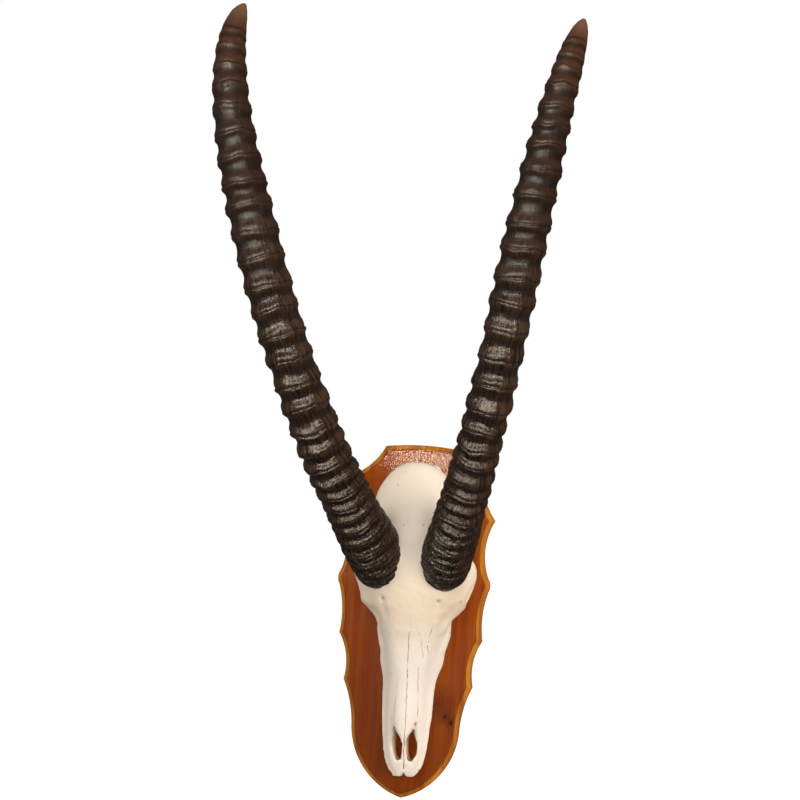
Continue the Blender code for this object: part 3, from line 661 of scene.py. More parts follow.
def skin(solid):
    """Corner points and quads of the surface where the distance is zero."""
    value = solid.value
    inside = value < 0
    cells = tuple(n - 1 for n in value.shape)
    offsets = [(i, j, k) for i in (0, 1) for j in (0, 1) for k in (0, 1)]
    count = np.zeros(cells, np.int8)
    for i, j, k in offsets:
        count += inside[i : i + cells[0], j : j + cells[1], k : k + cells[2]]
    active = np.argwhere((count > 0) & (count < 8))
    total, hits = np.zeros((len(active), 3)), np.zeros(len(active))
    corner = {o: value[tuple((active + o).T)] for o in offsets}
    for a in offsets:
        for axis in range(3):
            if a[axis]:
                continue
            b = tuple(v + (i == axis) for i, v in enumerate(a))
            va, vb = corner[a], corner[b]
            crosses = (va < 0) != (vb < 0)
            share = np.where(crosses, va / np.where(crosses, va - vb, 1), 0)
            place = np.repeat(np.array([a], float), len(active), 0)
            place[:, axis] += share
            total[crosses] += place[crosses]
            hits += crosses
    points = (active + total / hits[:, None]) * solid.step + np.array(solid.low)
    number = np.full(cells, -1, np.int32)
    number[tuple(active.T)] = np.arange(len(active))
    quads = []
    for axis in range(3):
        u, v = (axis + 1) % 3, (axis + 2) % 3
        low = [slice(1, n) for n in cells]
        high = [slice(1, n) for n in cells]
        low[axis], high[axis] = slice(0, cells[axis]), slice(1, cells[axis] + 1)
        first, second = inside[tuple(low)], inside[tuple(high)]
        edges = np.argwhere(first != second)
        leaves = first[tuple(edges.T)]
        edges[:, u] += 1
        edges[:, v] += 1
        step_u, step_v = np.zeros(3, int), np.zeros(3, int)
        step_u[u], step_v[v] = 1, 1
        ring = [number[tuple((edges - s).T)] for s in (step_u + step_v, step_v, 0 * step_u, step_u)]
        quad = np.stack(ring, 1)
        quad[leaves] = quad[leaves][:, ::-1]
        quads.append(quad)
    return points, np.concatenate(quads)


# Nodes that are used often, as (type, settings, the inputs that they are given in order).
KINDS = {
    "mix": ("ShaderNodeMix", {"data_type": "RGBA"}, ("Factor", 6, 7)),
    "ease": ("ShaderNodeMapRange", {"interpolation_type": "SMOOTHSTEP"},
             ("Value", "From Min", "From Max", "To Min", "To Max")),
    "bump": ("ShaderNodeBump", {}, ("Height", "Strength", "Distance", "Normal")),
}


def feed(tree, node, inputs):
    """Links or sets a node's inputs. A node given as an input stands for its output."""
    for key, value in inputs.items():
        named = [socket for socket in node.inputs if socket.enabled and socket.name == key]
        socket = named[0] if named else node.inputs[key]
        if isinstance(value, bpy.types.Node):
            value = next(output for output in value.outputs if output.enabled)
        if isinstance(value, bpy.types.NodeSocket):
            tree.links.new(value, socket)
        else:
            socket.default_value = value


def add(tree, kind, *given, **settings):
    """Adds a node with its settings, and its inputs in order or as one table by name or place.

    Capitals name an operation on numbers, or on vectors after the word VECTOR.
    """
    order = range(len(given))
    if kind in KINDS:
        kind, fixed, order = KINDS[kind]
        settings = {**fixed, **settings}
    elif kind.isupper():
        settings["operation"] = kind.removeprefix("VECTOR ")
        kind = "ShaderNodeVectorMath" if kind.startswith("VECTOR ") else "ShaderNodeMath"
    made = tree.nodes.new(kind)
    for name, value in settings.items():
        setattr(made, name, value)
    feed(tree, made, given[0] if given and isinstance(given[0], dict) else dict(zip(order, given)))
    return made


def shape_curve(node, points):
    """Sets the points of a float curve node."""
    curve = node.mapping.curves[0]
    while len(curve.points) < len(points):
        curve.points.new(0.5, 0.5)
    for point, place in zip(curve.points, points):
        point.location = place
        point.handle_type = "AUTO_CLAMPED"
    node.mapping.update()
    return node


def new_material(name):
    """An empty material, what adds nodes to it, and what feeds its shader."""
    made = bpy.data.materials.new(name)
    made.use_nodes = True
    tree = made.node_tree
    tree.nodes.clear()
    node = partial(add, tree)
    shader = node("ShaderNodeBsdfPrincipled")
    node("ShaderNodeOutputMaterial", {"Surface": shader})
    return made, node, partial(feed, tree, shader)


def noise_at(node, place, scale, size_mm, detail, roughness=0.5):
    """Noise whose features are about size_mm across, stretched by the scale along x, y and z."""
    stretched = node("VECTOR MULTIPLY", place, [v / (size_mm * MM) for v in scale])
    look = {"Vector": stretched, "Scale": 1.0, "Detail": detail, "Roughness": roughness}
    return node("ShaderNodeTexNoise", look)


def lay_over(node, base, layers):
    """Lays colours over a base in turn.

    Each is (the value it follows, the range that brings it in and perhaps one that takes it out, strength, colour).
    """
    for value, reach, strength, tint in layers:
        share = node("ease", value, *reach[:2], 0.0, strength)
        if len(reach) > 2:
            share = node("MULTIPLY", share, node("ease", value, *reach[2:]))
        base = node("mix", share, base, colour(tint) if isinstance(tint, str) else tint)
    return base


def bone_material(settings):
    """Boiled and bleached bone: dry, matt and chalky, with grey dirt in seams and pores, and painted shade in its
    hollows, in its pits and down its left side.
    """
    made, node, shade = new_material("bleached bone")
    place = node("ShaderNodeTexCoord").outputs["Object"]
    hollow_shade = node("ShaderNodeAttribute", attribute_name="hollow_shade").outputs["Fac"]
    seam_and_pit_shade = node("ShaderNodeAttribute", attribute_name="seam_and_pit_shade").outputs["Fac"]
    enamel = node("ShaderNodeAttribute", attribute_name="enamel").outputs["Fac"]
    side, _, height = node("ShaderNodeSeparateXYZ", place).outputs

    # Cloudy patches about 25 mm across, then faint streaks along the bone 2 mm wide.
    clouds = noise_at(node, place, (1, 1, 0.7), 25, 3)
    streaks = noise_at(node, place, (1, 1, 0.12), 2.2, 4, 0.6)
    # Pores under a millimetre across, drawn at 1.2 mm so that they show.
    pores = noise_at(node, place, (1, 1, 1), 1.2, 2)
    layers = (
        (clouds, (0.32, 0.68), 1.0, tuple(settings.warm_colour)),
        (streaks, (0.45, 0.75), 0.16, "#c9b79c"),
        # The brow has yellowed a little. The braincase and the snout are whiter, and the whole left side is greyer with
        # painted shade.
        (height, (-0.045, 0.020), 0.42, "#dcc6a4"),
        (height, (0.040, 0.085), 0.75, "#f6ead9"),
        (height, (0.010, -0.060), 0.70, "#f9f0e4"),
        (side, (0.022, -0.020), 0.30, "#d2c5b0"),
        # Painted shade, darker and warmer, deep in the hollows.
        (hollow_shade, (0.25, 0.95), 0.75, tuple(settings.hollow_shade_colour)),
        (enamel, (0.2, 0.9), 0.80, "#d9c7a2"),
        (pores, (0.63, 0.78), 0.22, "#a8937a"),
        # Dark seams between the bones, and painted shade in the pits.
        (seam_and_pit_shade, (0.15, 0.85), 0.88, "#5f5144"),
    )
    shade({
        "Base Color": lay_over(node, tuple(settings.bone_colour), layers),
        "Roughness": node("ease", clouds, 0.3, 0.7, 0.55, 0.68),
        "IOR": 1.54,
        "Normal": node("bump", node("MULTIPLY_ADD", pores, 0.6, streaks), 0.28, 0.0004),
    })
    return made


def keratin_material(settings):
    """Oiled horn: near-black brown layers of keratin with a satin gloss, paler and smooth at the tip."""
    made, node, shade = new_material("dark horn keratin")
    grain = node("ShaderNodeAttribute", attribute_name="grain").outputs["Vector"]
    along = node("ShaderNodeAttribute", attribute_name="along").outputs["Fac"]
    ring = node("ShaderNodeAttribute", attribute_name="ring").outputs["Fac"]

    # Fibres run along the horn, about 1 mm wide and 20 mm long, in strands 3 mm wide.
    fibres = noise_at(node, grain, (1, 1, 0.05), 1.0, 4, 0.65)
    strands = noise_at(node, grain, (1, 1, 0.09), 3.0, 3, 0.6)
    layers = (
        (strands, (0.35, 0.65), 1.0, tuple(settings.brown_colour)),
        (fibres, (0.52, 0.80), 0.30, "#5a4130"),
        # Dirt and oil have blackened the foot.
        (along, (0.30, 0.02), 0.45, "#120b07"),
        # Higher up the layers are dull and dark, then browner and worn smooth towards the tip.
        (along, (0.48, 0.72), 0.80, "#2e180c"),
        (along, (0.76, 0.93), 0.35, "#5c371b"),
        # Painted shade: the valley between two rings is darkened, and the crease above a ring's lip is painted near
        # black.
        (ring, (0.40, 0.55, 0.90, 0.72), 0.6, "#0d0805"),
        (ring, (0.02, 0.05, 0.10, 0.06), 0.7, "#070403"),
        (along, (0.925, 0.985), 1.0, tuple(settings.tip_colour)),
    )
    # It is polished least where it has worn, towards the tip.
    worn = node("ease", along, 0.42, 0.72, 0.0, 0.26)
    # The foot is crumbly, with pits about 3 mm across.
    crumbs = noise_at(node, grain, (1, 1, 2.0), 3.4, 3, 0.65)
    relief = node("MULTIPLY_ADD", strands, node("ease", along, 0.15, 0.45, 0.4, 1.0), fibres)
    relief = node("MULTIPLY_ADD", crumbs, node("ease", along, 0.34, 0.04, 0.1, 1.6), relief)
    relief = node("MULTIPLY", relief, node("ease", along, 0.50, 0.85, 1.0, 0.3))
    shade({
        "Base Color": lay_over(node, tuple(settings.dark_colour), layers),
        "Roughness": node("ADD", node("ease", fibres, 0.3, 0.75, 0.19, 0.33), worn),
        "IOR": 1.54,
        "Normal": node("bump", relief, 0.8, 0.0009),
    })
    return made


def wood_material(settings):
    """Stained hardwood under gloss varnish: upright grain, dark knots, paler on the routed edge."""
    made, node, shade = new_material("varnished hardwood")
    place = node("ShaderNodeTexCoord").outputs["Object"]
    _, depth, height = node("ShaderNodeSeparateXYZ", place).outputs

    # Growth bands 9 mm wide and fibres under 1 mm wide, both upright.
    sway = noise_at(node, place, (1, 1, 0.4), 60, 1).outputs["Color"]
    swayed = node("VECTOR ADD", place, node("VECTOR SCALE", {0: sway, "Scale": 0.012}))
    bands = noise_at(node, swayed, (1, 0.3, 0.03), 9, 3, 0.55)
    fibres = noise_at(node, swayed, (1, 1, 0.02), 0.9, 3, 0.6)
    layers = [
        (bands, (0.30, 0.70), 1.0, tuple(settings.stain_colour)),
        (fibres, (0.5, 0.8), 0.35, "#a8550f"),
        (height, (-0.02, -0.24), 0.5, "#5f2403"),
    ]
    # Each knot is a dark heart in a wide brown halo, both uneven by about 4 mm.
    burl = noise_at(node, place, (1.4, 1, 0.7), 4, 3, 0.6)
    for x, z, size, dark in KNOTS:
        flat = node("VECTOR MULTIPLY", node("VECTOR SUBTRACT", place, (x, 0.0, z)), (1.0, 0.0, 0.7))
        wobble = node("MULTIPLY_ADD", burl, size * 3.0, node("VECTOR LENGTH", flat).outputs["Value"])
        layers.append((wobble, (size * 6.0, size * 1.8), 0.5, "#4f1c03"))
        layers.append((wobble, (size * 2.6, size * 1.9), dark, "#1c0b03"))
    # The routed edge is paler, and the groove beside the face is darkened with painted shade.
    routed = lay_over(node, colour("#9a5210"), [(bands, (0.3, 0.7), 1.0, tuple(settings.edge_colour))])
    layers.append((depth, (-0.0219, -0.0212), 1.0, routed))
    layers.append((depth, (-0.0196, -0.0201, -0.0212, -0.0206), 0.75, "#4a2106"))
    # Brushed varnish dries with a skin like orange peel, its bumps about 2.6 mm across, roughest near the top.
    peel = noise_at(node, place, (1, 1, 1), 2.6, 3, 0.6)
    peel = node("MULTIPLY", peel, node("ease", height, 0.12, 0.20, 0.3, 1.3))
    varnish = node("bump", peel, 0.9, 0.0007)
    # The wood lies wet under its varnish, so nearly all the gloss is the varnish's own.
    shade({
        "Base Color": lay_over(node, tuple(settings.dark_colour), layers),
        "Roughness": 0.5,
        "IOR": 1.45,
        "Specular IOR Level": 0.08,
        "Coat Weight": 1.0,
        "Coat Roughness": 0.08,
        "Coat Normal": varnish,
        "Normal": node("bump", fibres, 0.2, 0.0003, varnish),
    })
    return made


def zinc_material(settings):
    """Mild steel with a thin, dull zinc plating: grey-white crystals a few millimetres across, fine scratches."""
    made, node, shade = new_material("zinc plated steel")
    place = node("ShaderNodeTexCoord").outputs["Object"]
    cells = noise_at(node, place, (1, 1, 1), 2.5, 3)
    scratches = noise_at(node, place, (0.15, 1, 1), 0.5, 2)
    shade({
        "Base Color": lay_over(node, tuple(settings.zinc_colour), [(cells, (0.35, 0.65), 1.0, "#9c9d9a")]),
        "Metallic": 1.0,
        "Roughness": node("ease", scratches, 0.3, 0.7, 0.28, 0.46),
        "Normal": node("bump", scratches, 0.25, 0.0001),
    })
    return made


def line_distance(x, z, line):
    """Distance in millimetres from points to a line through its stations, seen from the front."""
    best = np.full(x.shape, 1e6)
    for (ax, az), (bx, bz) in zip(line, line[1:]):
        ex, ez = bx - ax, bz - az
        share = np.clip(((x - ax) * ex + (z - az) * ez) / (ex * ex + ez * ez), 0, 1)
        best = np.minimum(best, (x - ax - share * ex) ** 2 + (z - az - share * ez) ** 2)
    return np.sqrt(best)


def ripples(points, size, seed, count=14):
    """A smooth random field between about -1 and 1 with features of that size in millimetres."""
    draw = np.random.default_rng(seed)
    total = np.zeros(len(points))
    for _ in range(count):
        way = draw.normal(size=3)
        way *= math.tau / size / np.linalg.norm(way) * draw.uniform(0.6, 1.4)
        total += np.sin(points @ way + draw.uniform(0, math.tau))
    return total / math.sqrt(count) / 1.4


def field_at(solid, points):
    """The solid's distance at points in its own measure, read between its cells."""
    place = (points - np.array(solid.low)) / solid.step
    base = np.clip(np.floor(place).astype(int), 0, np.array(solid.value.shape) - 2)
    part = np.clip(place - base, 0, 1)
    total = np.zeros(len(points))
    for i in (0, 1):
        for j in (0, 1):
            for k in (0, 1):
                weight = np.abs(1 - i - part[:, 0]) * np.abs(1 - j - part[:, 1]) * np.abs(1 - k - part[:, 2])
                total += weight * solid.value[base[:, 0] + i, base[:, 1] + j, base[:, 2] + k]
    return total


def skull_measure(co):
    """World places in metres as x, depth and z in the skull's own millimetres."""
    return np.column_stack([co[:, 0] / MM - SKULL_X, -co[:, 1] / MM, co[:, 2] / MM])


def vertex_arrays(mesh):
    count = len(mesh.vertices)
    co, normal = np.empty(count * 3), np.empty(count * 3)
    mesh.vertices.foreach_get("co", co)
    mesh.vertex_normals.foreach_get("vector", normal)
    return co.reshape(-1, 3), normal.reshape(-1, 3)


def refine(mesh, reach):
    """Halves the faces of the front that lie within reach of a seam or a pit."""
    co, normal = vertex_arrays(mesh)
    place = skull_measure(co)
    near = np.full(len(co), 1e6)
    for line in SEAMS.values():
        near = np.minimum(near, line_distance(place[:, 0], place[:, 2], line))
    for x, z, radius, _ in PITS:
        near = np.minimum(near, np.hypot(place[:, 0] - x, place[:, 2] - z) - radius)
    chosen = (near < reach) & (normal[:, 1] < -0.05) & (place[:, 1] > 50)
    with opened(mesh) as bm:
        edges = [e for e in bm.edges if chosen[e.verts[0].index] and chosen[e.verts[1].index]]
        bmesh.ops.subdivide_edges(bm, edges=edges, cuts=1, use_grid_fill=True)
        bmesh.ops.triangulate(bm, faces=[f for f in bm.faces if len(f.verts) > 4])


def store(mesh, name, values):
    attribute = mesh.attributes.new(name, "FLOAT", "POINT")
    attribute.data.foreach_set("value", np.asarray(values, np.float32))


def engrave(mesh, solid, settings):
    """Cuts seams, cracks, holes and faint unevenness into the bone, and stores the seams, painted shade in the pits and
    painted shade in the hollows.
    """
    co, normal = vertex_arrays(mesh)
    place = skull_measure(co)
    front = np.clip(-normal[:, 1] * 3, 0, 1) * (place[:, 1] > 50)
    wander_x = place[:, 0] + 0.35 * ripples(place, 6, 3) + 0.12 * ripples(place, 2.4, 4)
    wander_z = place[:, 2] + 0.35 * ripples(place, 6, 5) + 0.12 * ripples(place, 2.4, 6)
    seam_and_pit_shade = np.zeros(len(co))
    gaps = np.clip(0.82 + 0.40 * ripples(place, 16, 8), 0.4, 1)
    for name, line in SEAMS.items():
        width = settings.seam_width / MM
        here = np.exp(-((line_distance(wander_x, wander_z, line) / width) ** 2))
        seam_and_pit_shade = np.maximum(seam_and_pit_shade, here * SEAM_STRENGTH.get(name, 1.0) * gaps)
    sink = seam_and_pit_shade * settings.seam_depth / MM
    for x, z, radius, depth in PITS:
        off = np.hypot(place[:, 0] - x, (place[:, 2] - z) * 0.75)
        hole = np.exp(-((off / radius) ** 2))
        sink += hole * depth
        # Each pit is darkened with painted shade.
        seam_and_pit_shade = np.maximum(seam_and_pit_shade, hole * 0.55)
    for line, width, depth in GROOVES:
        sink += depth * np.exp(-((line_distance(place[:, 0], place[:, 2], line) / width) ** 2))
    rough = 0.30 * ripples(place, 34, 1) + 0.16 * ripples(place, 13, 2) + 0.05 * ripples(place, 5, 9)
    sink = sink * front - rough
    co -= normal * (sink * MM)[:, None]
    mesh.vertices.foreach_set("co", co.reshape(-1))
    # Painted shade in the hollows, strongest where the bone closes in around a point.
    hollow_shade = np.zeros(len(co))
    for reach in (5.0, 12.0, 22.0):
        out = np.column_stack([normal[:, 0], -normal[:, 1], normal[:, 2]]) * reach
        hollow_shade += np.clip(1 - field_at(solid, place + out) / reach, 0, 1.2) / 3
    store(mesh, "seam_and_pit_shade", seam_and_pit_shade * front)
    store(mesh, "hollow_shade", hollow_shade)
    row = (place[:, 1] < 41) & (place[:, 2] > -113) & (place[:, 2] < -4) & (np.abs(place[:, 0]) > 20)
    store(mesh, "enamel", row.astype(np.float32))
    mesh.update()


def place_piece(mesh, name, slot, *nodes):
    """Shows a finished mesh as a piece of the trophy in place of its solids."""
    obj = put(name, mesh)
    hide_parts(*nodes)
    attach(obj, BODY)
    return obj


def make_skull(settings):
    solid = skull_solid(settings.cell / MM)
    points, quads = skin(solid)
    world = np.column_stack([(points[:, 0] + SKULL_X) * MM, -points[:, 1] * MM, points[:, 2] * MM])
    mesh = bpy.data.meshes.new("skull_bone")
    mesh.from_pydata(world.tolist(), [], quads.tolist())
    with opened(mesh) as bm:
        for _ in range(4):
            bmesh.ops.smooth_vert(bm, verts=bm.verts, factor=0.4, use_axis_x=True, use_axis_y=True, use_axis_z=True)
    for reach in (3.0, 1.7, 1.0):
        refine(mesh, reach)
    engrave(mesh, solid, settings)
    mesh.shade_smooth()
    mesh.materials.append(bone_material(settings))
    return place_piece(mesh, "skull_bone", "bleached_bone", "skull")


def spine_mesh(name, horn):
    """A horn's spine as a line of points that carry its radius, the count of rings passed and the rings' height."""
    lengths, points = horn_spine(horn)
    shares = lengths / horn["length"]
    mesh = bpy.data.meshes.new(f"{name}_spine")
    mesh.from_pydata(points.tolist(), [(i, i + 1) for i in range(len(points) - 1)], [])
    radii = np.interp(shares, *zip(*HORN_RADII))
    rounding = [size for _, size in SKIRT_ROUNDING]
    radii[: len(rounding)] *= rounding
    crests = np.concatenate([[-HORN_SKIRT / horn["length"] - 0.002, -0.006, 0.015], RINGS[name], [1.02]])
    store(mesh, "radius", radii * horn["girth"])
    store(mesh, "rings", np.interp(shares, crests, np.arange(len(crests))))
    rise = np.interp(shares, (-0.022, 0.01, 0.14, 0.735, 0.985), (0.05, 0.42, 1.0, 1.0, 0.0))
    store(mesh, "rise", rise * (shares < RINGS[name][-1] + 0.002))
    return mesh


def horn_tree():
    """The nodes that clothe a spine in a ringed sheath."""
    tree = bpy.data.node_groups.new("ringed horn sheath", "GeometryNodeTree")
    for name, kind, low, start in (
        ("Spine", "NodeSocketGeometry", None, None),
        ("Length", "NodeSocketFloat", 0.1, 0.8),
        ("Skirt", "NodeSocketFloat", 0.0, 0.012),
        ("Side", "NodeSocketFloat", -1.0, 1.0),
        ("Front To Side", "NodeSocketFloat", 0.5, 1.06),
        ("Ring Height", "NodeSocketFloat", 0.0, 0.0044),
        ("Ring Wander", "NodeSocketFloat", 0.0, 0.003),
        ("Front Dip", "NodeSocketFloat", -0.01, 0.0),
        ("Fibre Depth", "NodeSocketFloat", 0.0, 0.0003),
        ("Flake Depth", "NodeSocketFloat", 0.0, 0.001),
        ("Ridge Depth", "NodeSocketFloat", 0.0, 0.0006),
        ("Seed", "NodeSocketFloat", 0.0, 0.0),
        ("Steps", "NodeSocketInt", 10, 600),
        ("Sides", "NodeSocketInt", 8, 160),
        ("Material", "NodeSocketMaterial", None, None),
    ):
        socket = tree.interface.new_socket(name, in_out="INPUT", socket_type=kind)
        if start is not None:
            socket.min_value = low
            socket.default_value = start
    tree.interface.new_socket("Horn", in_out="OUTPUT", socket_type="NodeSocketGeometry")
    node = partial(add, tree)
    given = node("NodeGroupInput").outputs

    # A flat sheet: its length becomes the way up the horn, its width the way round.
    counts = {"Vertices X": given["Steps"], "Vertices Y": node("ADD", given["Sides"], 1)}
    sheet = node("GeometryNodeMeshGrid", {"Size X": 1.0, "Size Y": 1.0, **counts})
    flat = node("ShaderNodeSeparateXYZ", node("GeometryNodeInputPosition"))
    run = node("ADD", flat.outputs["X"], 0.5)
    # Rows lie closer together towards the foot, where the ridges are finest.
    up = node("POWER", run, 1.3)
    angle = node("MULTIPLY", node("ADD", flat.outputs["Y"], 0.5), math.tau)
    cosine, sine = node("COSINE", angle), node("SINE", angle)
    whole = node("ADD", given["Length"], given["Skirt"])
    distance = node("MULTIPLY", up, whole)
    share = node("DIVIDE", node("SUBTRACT", distance, given["Skirt"]), given["Length"])

    spine = node("GeometryNodeMeshToCurve", {"Mesh": given["Spine"]})

    def sampled(name, factor):
        """What the spine carries under that name, so far along it."""
        carried = node("GeometryNodeInputNamedAttribute", {"Name": name}, data_type="FLOAT").outputs["Attribute"]
        return node("GeometryNodeSampleCurve", {"Curves": spine, "Value": carried, "Factor": factor}, mode="FACTOR")

    at = sampled("radius", up)
    tangent = node("VECTOR NORMALIZE", at.outputs["Tangent"])
    slope = node("VECTOR DOT_PRODUCT", tangent, (1, 0, 0)).outputs["Value"]
    lean = node("VECTOR SCALE", {0: tangent, "Scale": slope})
    sideways = node("VECTOR NORMALIZE", node("VECTOR SUBTRACT", (1, 0, 0), lean))
    front = node("VECTOR CROSS_PRODUCT", sideways, tangent)

    def round_place(stretch):
        """A place on a straight horn of even girth, where noise has no seam."""
        across = [node("MULTIPLY", way, STRAIGHT_RADIUS) for way in (cosine, sine)]
        return node("ShaderNodeCombineXYZ", *across, node("MULTIPLY_ADD", distance, stretch, given["Seed"]))

    def noise(stretch, size, detail):
        """Noise about zero whose features are that size in metres."""
        look = {"Vector": round_place(stretch), "Scale": 1.0 / size, "Detail": detail}
        return node("SUBTRACT", node("ShaderNodeTexNoise", look), 0.5)

    # The rings wander up and down, and dip towards the front.
    wander = node("MULTIPLY", noise(1.0, 0.030, 2.0), node("MULTIPLY", given["Ring Wander"], 4.0))
    inward = node("COSINE", node("SUBTRACT", angle, node("MULTIPLY", given["Side"], 0.5)))
    dip = node("MULTIPLY", inward, given["Front Dip"])
    shifted = node("DIVIDE", node("ADD", node("ADD", distance, wander), dip), whole)
    count = sampled("rings", shifted).outputs["Value"]
    ring = node("FRACT", count)
    number = node("FLOOR", count)
    profile = shape_curve(node("ShaderNodeFloatCurve", {"Factor": 1.0, "Value": ring}), RING_PROFILE)
    # Each ring has its own height, and stands highest in front.
    luck = node("ShaderNodeTexWhiteNoise", {"W": node("ADD", number, given["Seed"])}, noise_dimensions="1D")
    luck = node("MULTIPLY_ADD", luck.outputs["Value"], 0.35, 0.82)
    facing = node("MULTIPLY_ADD", cosine, 0.28, 0.72)
    height = node("MULTIPLY", node("MULTIPLY", given["Ring Height"], luck), facing)
    height = node("MULTIPLY", height, sampled("rise", up).outputs["Value"])
    lumps = node("MULTIPLY_ADD", noise(0.6, 0.009, 2.0), 0.4, 1.0)
    relief = node("MULTIPLY", node("MULTIPLY", profile, height), lumps)
    # Fibres run lengthways everywhere. The foot is flaky.
    fibres = node("MULTIPLY", noise(0.10, 0.0030, 2.0), given["Fibre Depth"])
    foot = node("ease", share, 0.24, 0.03)
    flakes = node("MULTIPLY", noise(2.4, 0.0085, 3.0), given["Flake Depth"])
    flakes = node("MULTIPLY", flakes, node("MULTIPLY_ADD", foot, 1.0, 0.1))
    # Between the rings lie fine crinkled ridges, most at the foot and on the inner side.
    warp = node("MULTIPLY", noise(1.0, 0.022, 3.0), 0.010)
    crinkle = node("MULTIPLY", node("ADD", node("ADD", distance, warp), dip), math.tau / RIDGE_SPACING)
    medial = node("ease", node("MULTIPLY", sine, given["Side"]), 0.1, 0.9)
    medial = node("MULTIPLY", medial, node("ease", share, 0.46, 0.20))
    where = node("MAXIMUM", node("ease", share, 0.20, 0.06), medial)
    where = node("MULTIPLY", where, node("ease", share, -0.024, 0.005, 0.1, 1.0))
    ridges = node("MULTIPLY", node("MULTIPLY", node("SINE", crinkle), given["Ridge Depth"]), where)
    uneven = node("ADD", node("MULTIPLY", noise(1.0, 0.045, 1.0), 0.0026), ridges)
    fade = node("ease", share, 1.0, 0.90)
    extra = node("MULTIPLY", node("ADD", node("ADD", fibres, flakes), uneven), fade)
    radius = node("ADD", node("ADD", at.outputs["Value"], relief), extra)
    # The first and last rows close the sheath.
    rows = node("SUBTRACT", given["Steps"], 1)
    shut = node("MULTIPLY", node("MINIMUM", run, node("SUBTRACT", 1.0, run)), rows)
    shut = node("ShaderNodeClamp", {"Value": shut})
    radius = node("MULTIPLY", radius, shut)

    deep = node("MULTIPLY", node("MULTIPLY", radius, cosine), given["Front To Side"])
    wide = node("DIVIDE", node("MULTIPLY", radius, sine), given["Front To Side"])
    place = node("VECTOR SCALE", {0: front, "Scale": deep})
    place = node("VECTOR ADD", place, node("VECTOR SCALE", {0: sideways, "Scale": wide}))
    place = node("VECTOR ADD", place, at.outputs["Position"])

    # What the material needs is kept on the points before they move.
    shape = sheet.outputs["Mesh"]
    for name, kind, value in (
        ("grain", "FLOAT_VECTOR", round_place(1.0)),
        ("along", "FLOAT", share),
        ("ring", "FLOAT", ring),
    ):
        shape = node("GeometryNodeStoreNamedAttribute", {"Geometry": shape, "Name": name, "Value": value},
                    data_type=kind, domain="POINT")
    shape = node("GeometryNodeSetPosition", {"Geometry": shape, "Position": place})
    shape = node("GeometryNodeMergeByDistance", {"Geometry": shape, "Distance": 0.00001})
    shape = node("GeometryNodeSetShadeSmooth", {"Geometry": shape})
    shape = node("GeometryNodeRealizeInstances", {"Geometry": shape})
    shape = node("GeometryNodeSetMaterial", {"Geometry": shape, "Material": given["Material"]})
    node("NodeGroupOutput", {0: shape})
    return tree


def make_horn(name, horn, tree, finish, settings):
    spine = put(f"{name}_spine", spine_mesh(name, horn))
    clothe = spine.modifiers.new("sheath", "NODES")
    clothe.node_group = tree
    sizes = {
        "Length": horn["length"],
        "Skirt": HORN_SKIRT,
        "Side": -horn["side"],
        "Front To Side": HORN_FRONT_TO_SIDE,
        "Ring Height": settings.ring_height,
        "Ring Wander": settings.ring_wander,
        "Front Dip": settings.front_dip if horn["side"] > 0 else 0.3 * settings.front_dip,
        "Fibre Depth": settings.fibre_depth,
        "Flake Depth": settings.flake_depth,
        "Ridge Depth": settings.ridge_depth,
        "Seed": float(settings.seed) + (7.0 if horn["side"] > 0 else 0.0),
        "Steps": settings.steps,
        "Sides": settings.sides,
        "Material": finish,
    }
    for item in tree.interface.items_tree:
        if item.item_type == "SOCKET" and item.in_out == "INPUT" and item.name in sizes:
            clothe[item.identifier] = sizes[item.name]
    bpy.context.view_layer.update()
    graph = bpy.context.evaluated_depsgraph_get()
    mesh = bpy.data.meshes.new_from_object(spine.evaluated_get(graph), preserve_all_data_layers=True, depsgraph=graph)
    bpy.data.objects.remove(spine, do_unlink=True)
    mesh.name = f"{name}_sheath"
    with opened(mesh) as bm:
        if bm.calc_volume(signed=True) < 0:
            bmesh.ops.reverse_faces(bm, faces=bm.faces)
    return place_piece(mesh, f"{name}_sheath", "horn_keratin", name)


def arc_of(start, end, bulge):
    """Centre and radius of a stretch of the board's outline, the radius negative where it curves in."""
    start, end = np.array(start), np.array(end)
    chord = end - start
    length = float(np.hypot(*chord))
    outward = np.array((-chord[1], chord[0])) / length
    radius = (length**2 / 4 + bulge**2) / (2 * bulge)
    return (start + end) / 2 - outward * (radius - bulge), radius


def meeting(first, second, near):
    """Where two circles cross, nearest to a place. Without a second one, where the first crosses the middle line."""
    centre, radius = first
    if second is None:
        rise = math.sqrt(max(0.0, radius**2 - centre[0] ** 2))
        found = [np.array((0.0, centre[1] + rise)), np.array((0.0, centre[1] - rise))]
    else:
        apart = second[0] - centre
        size = float(np.hypot(*apart))
        along = (radius**2 - second[1] ** 2 + size**2) / (2 * size)
        off = math.sqrt(max(0.0, radius**2 - along**2))
        side = np.array((-apart[1], apart[0])) / size
        middle = centre + apart / size * along
        found = [middle + side * off, middle - side * off]
    return min(found, key=lambda p: float(np.hypot(*(p - near))))


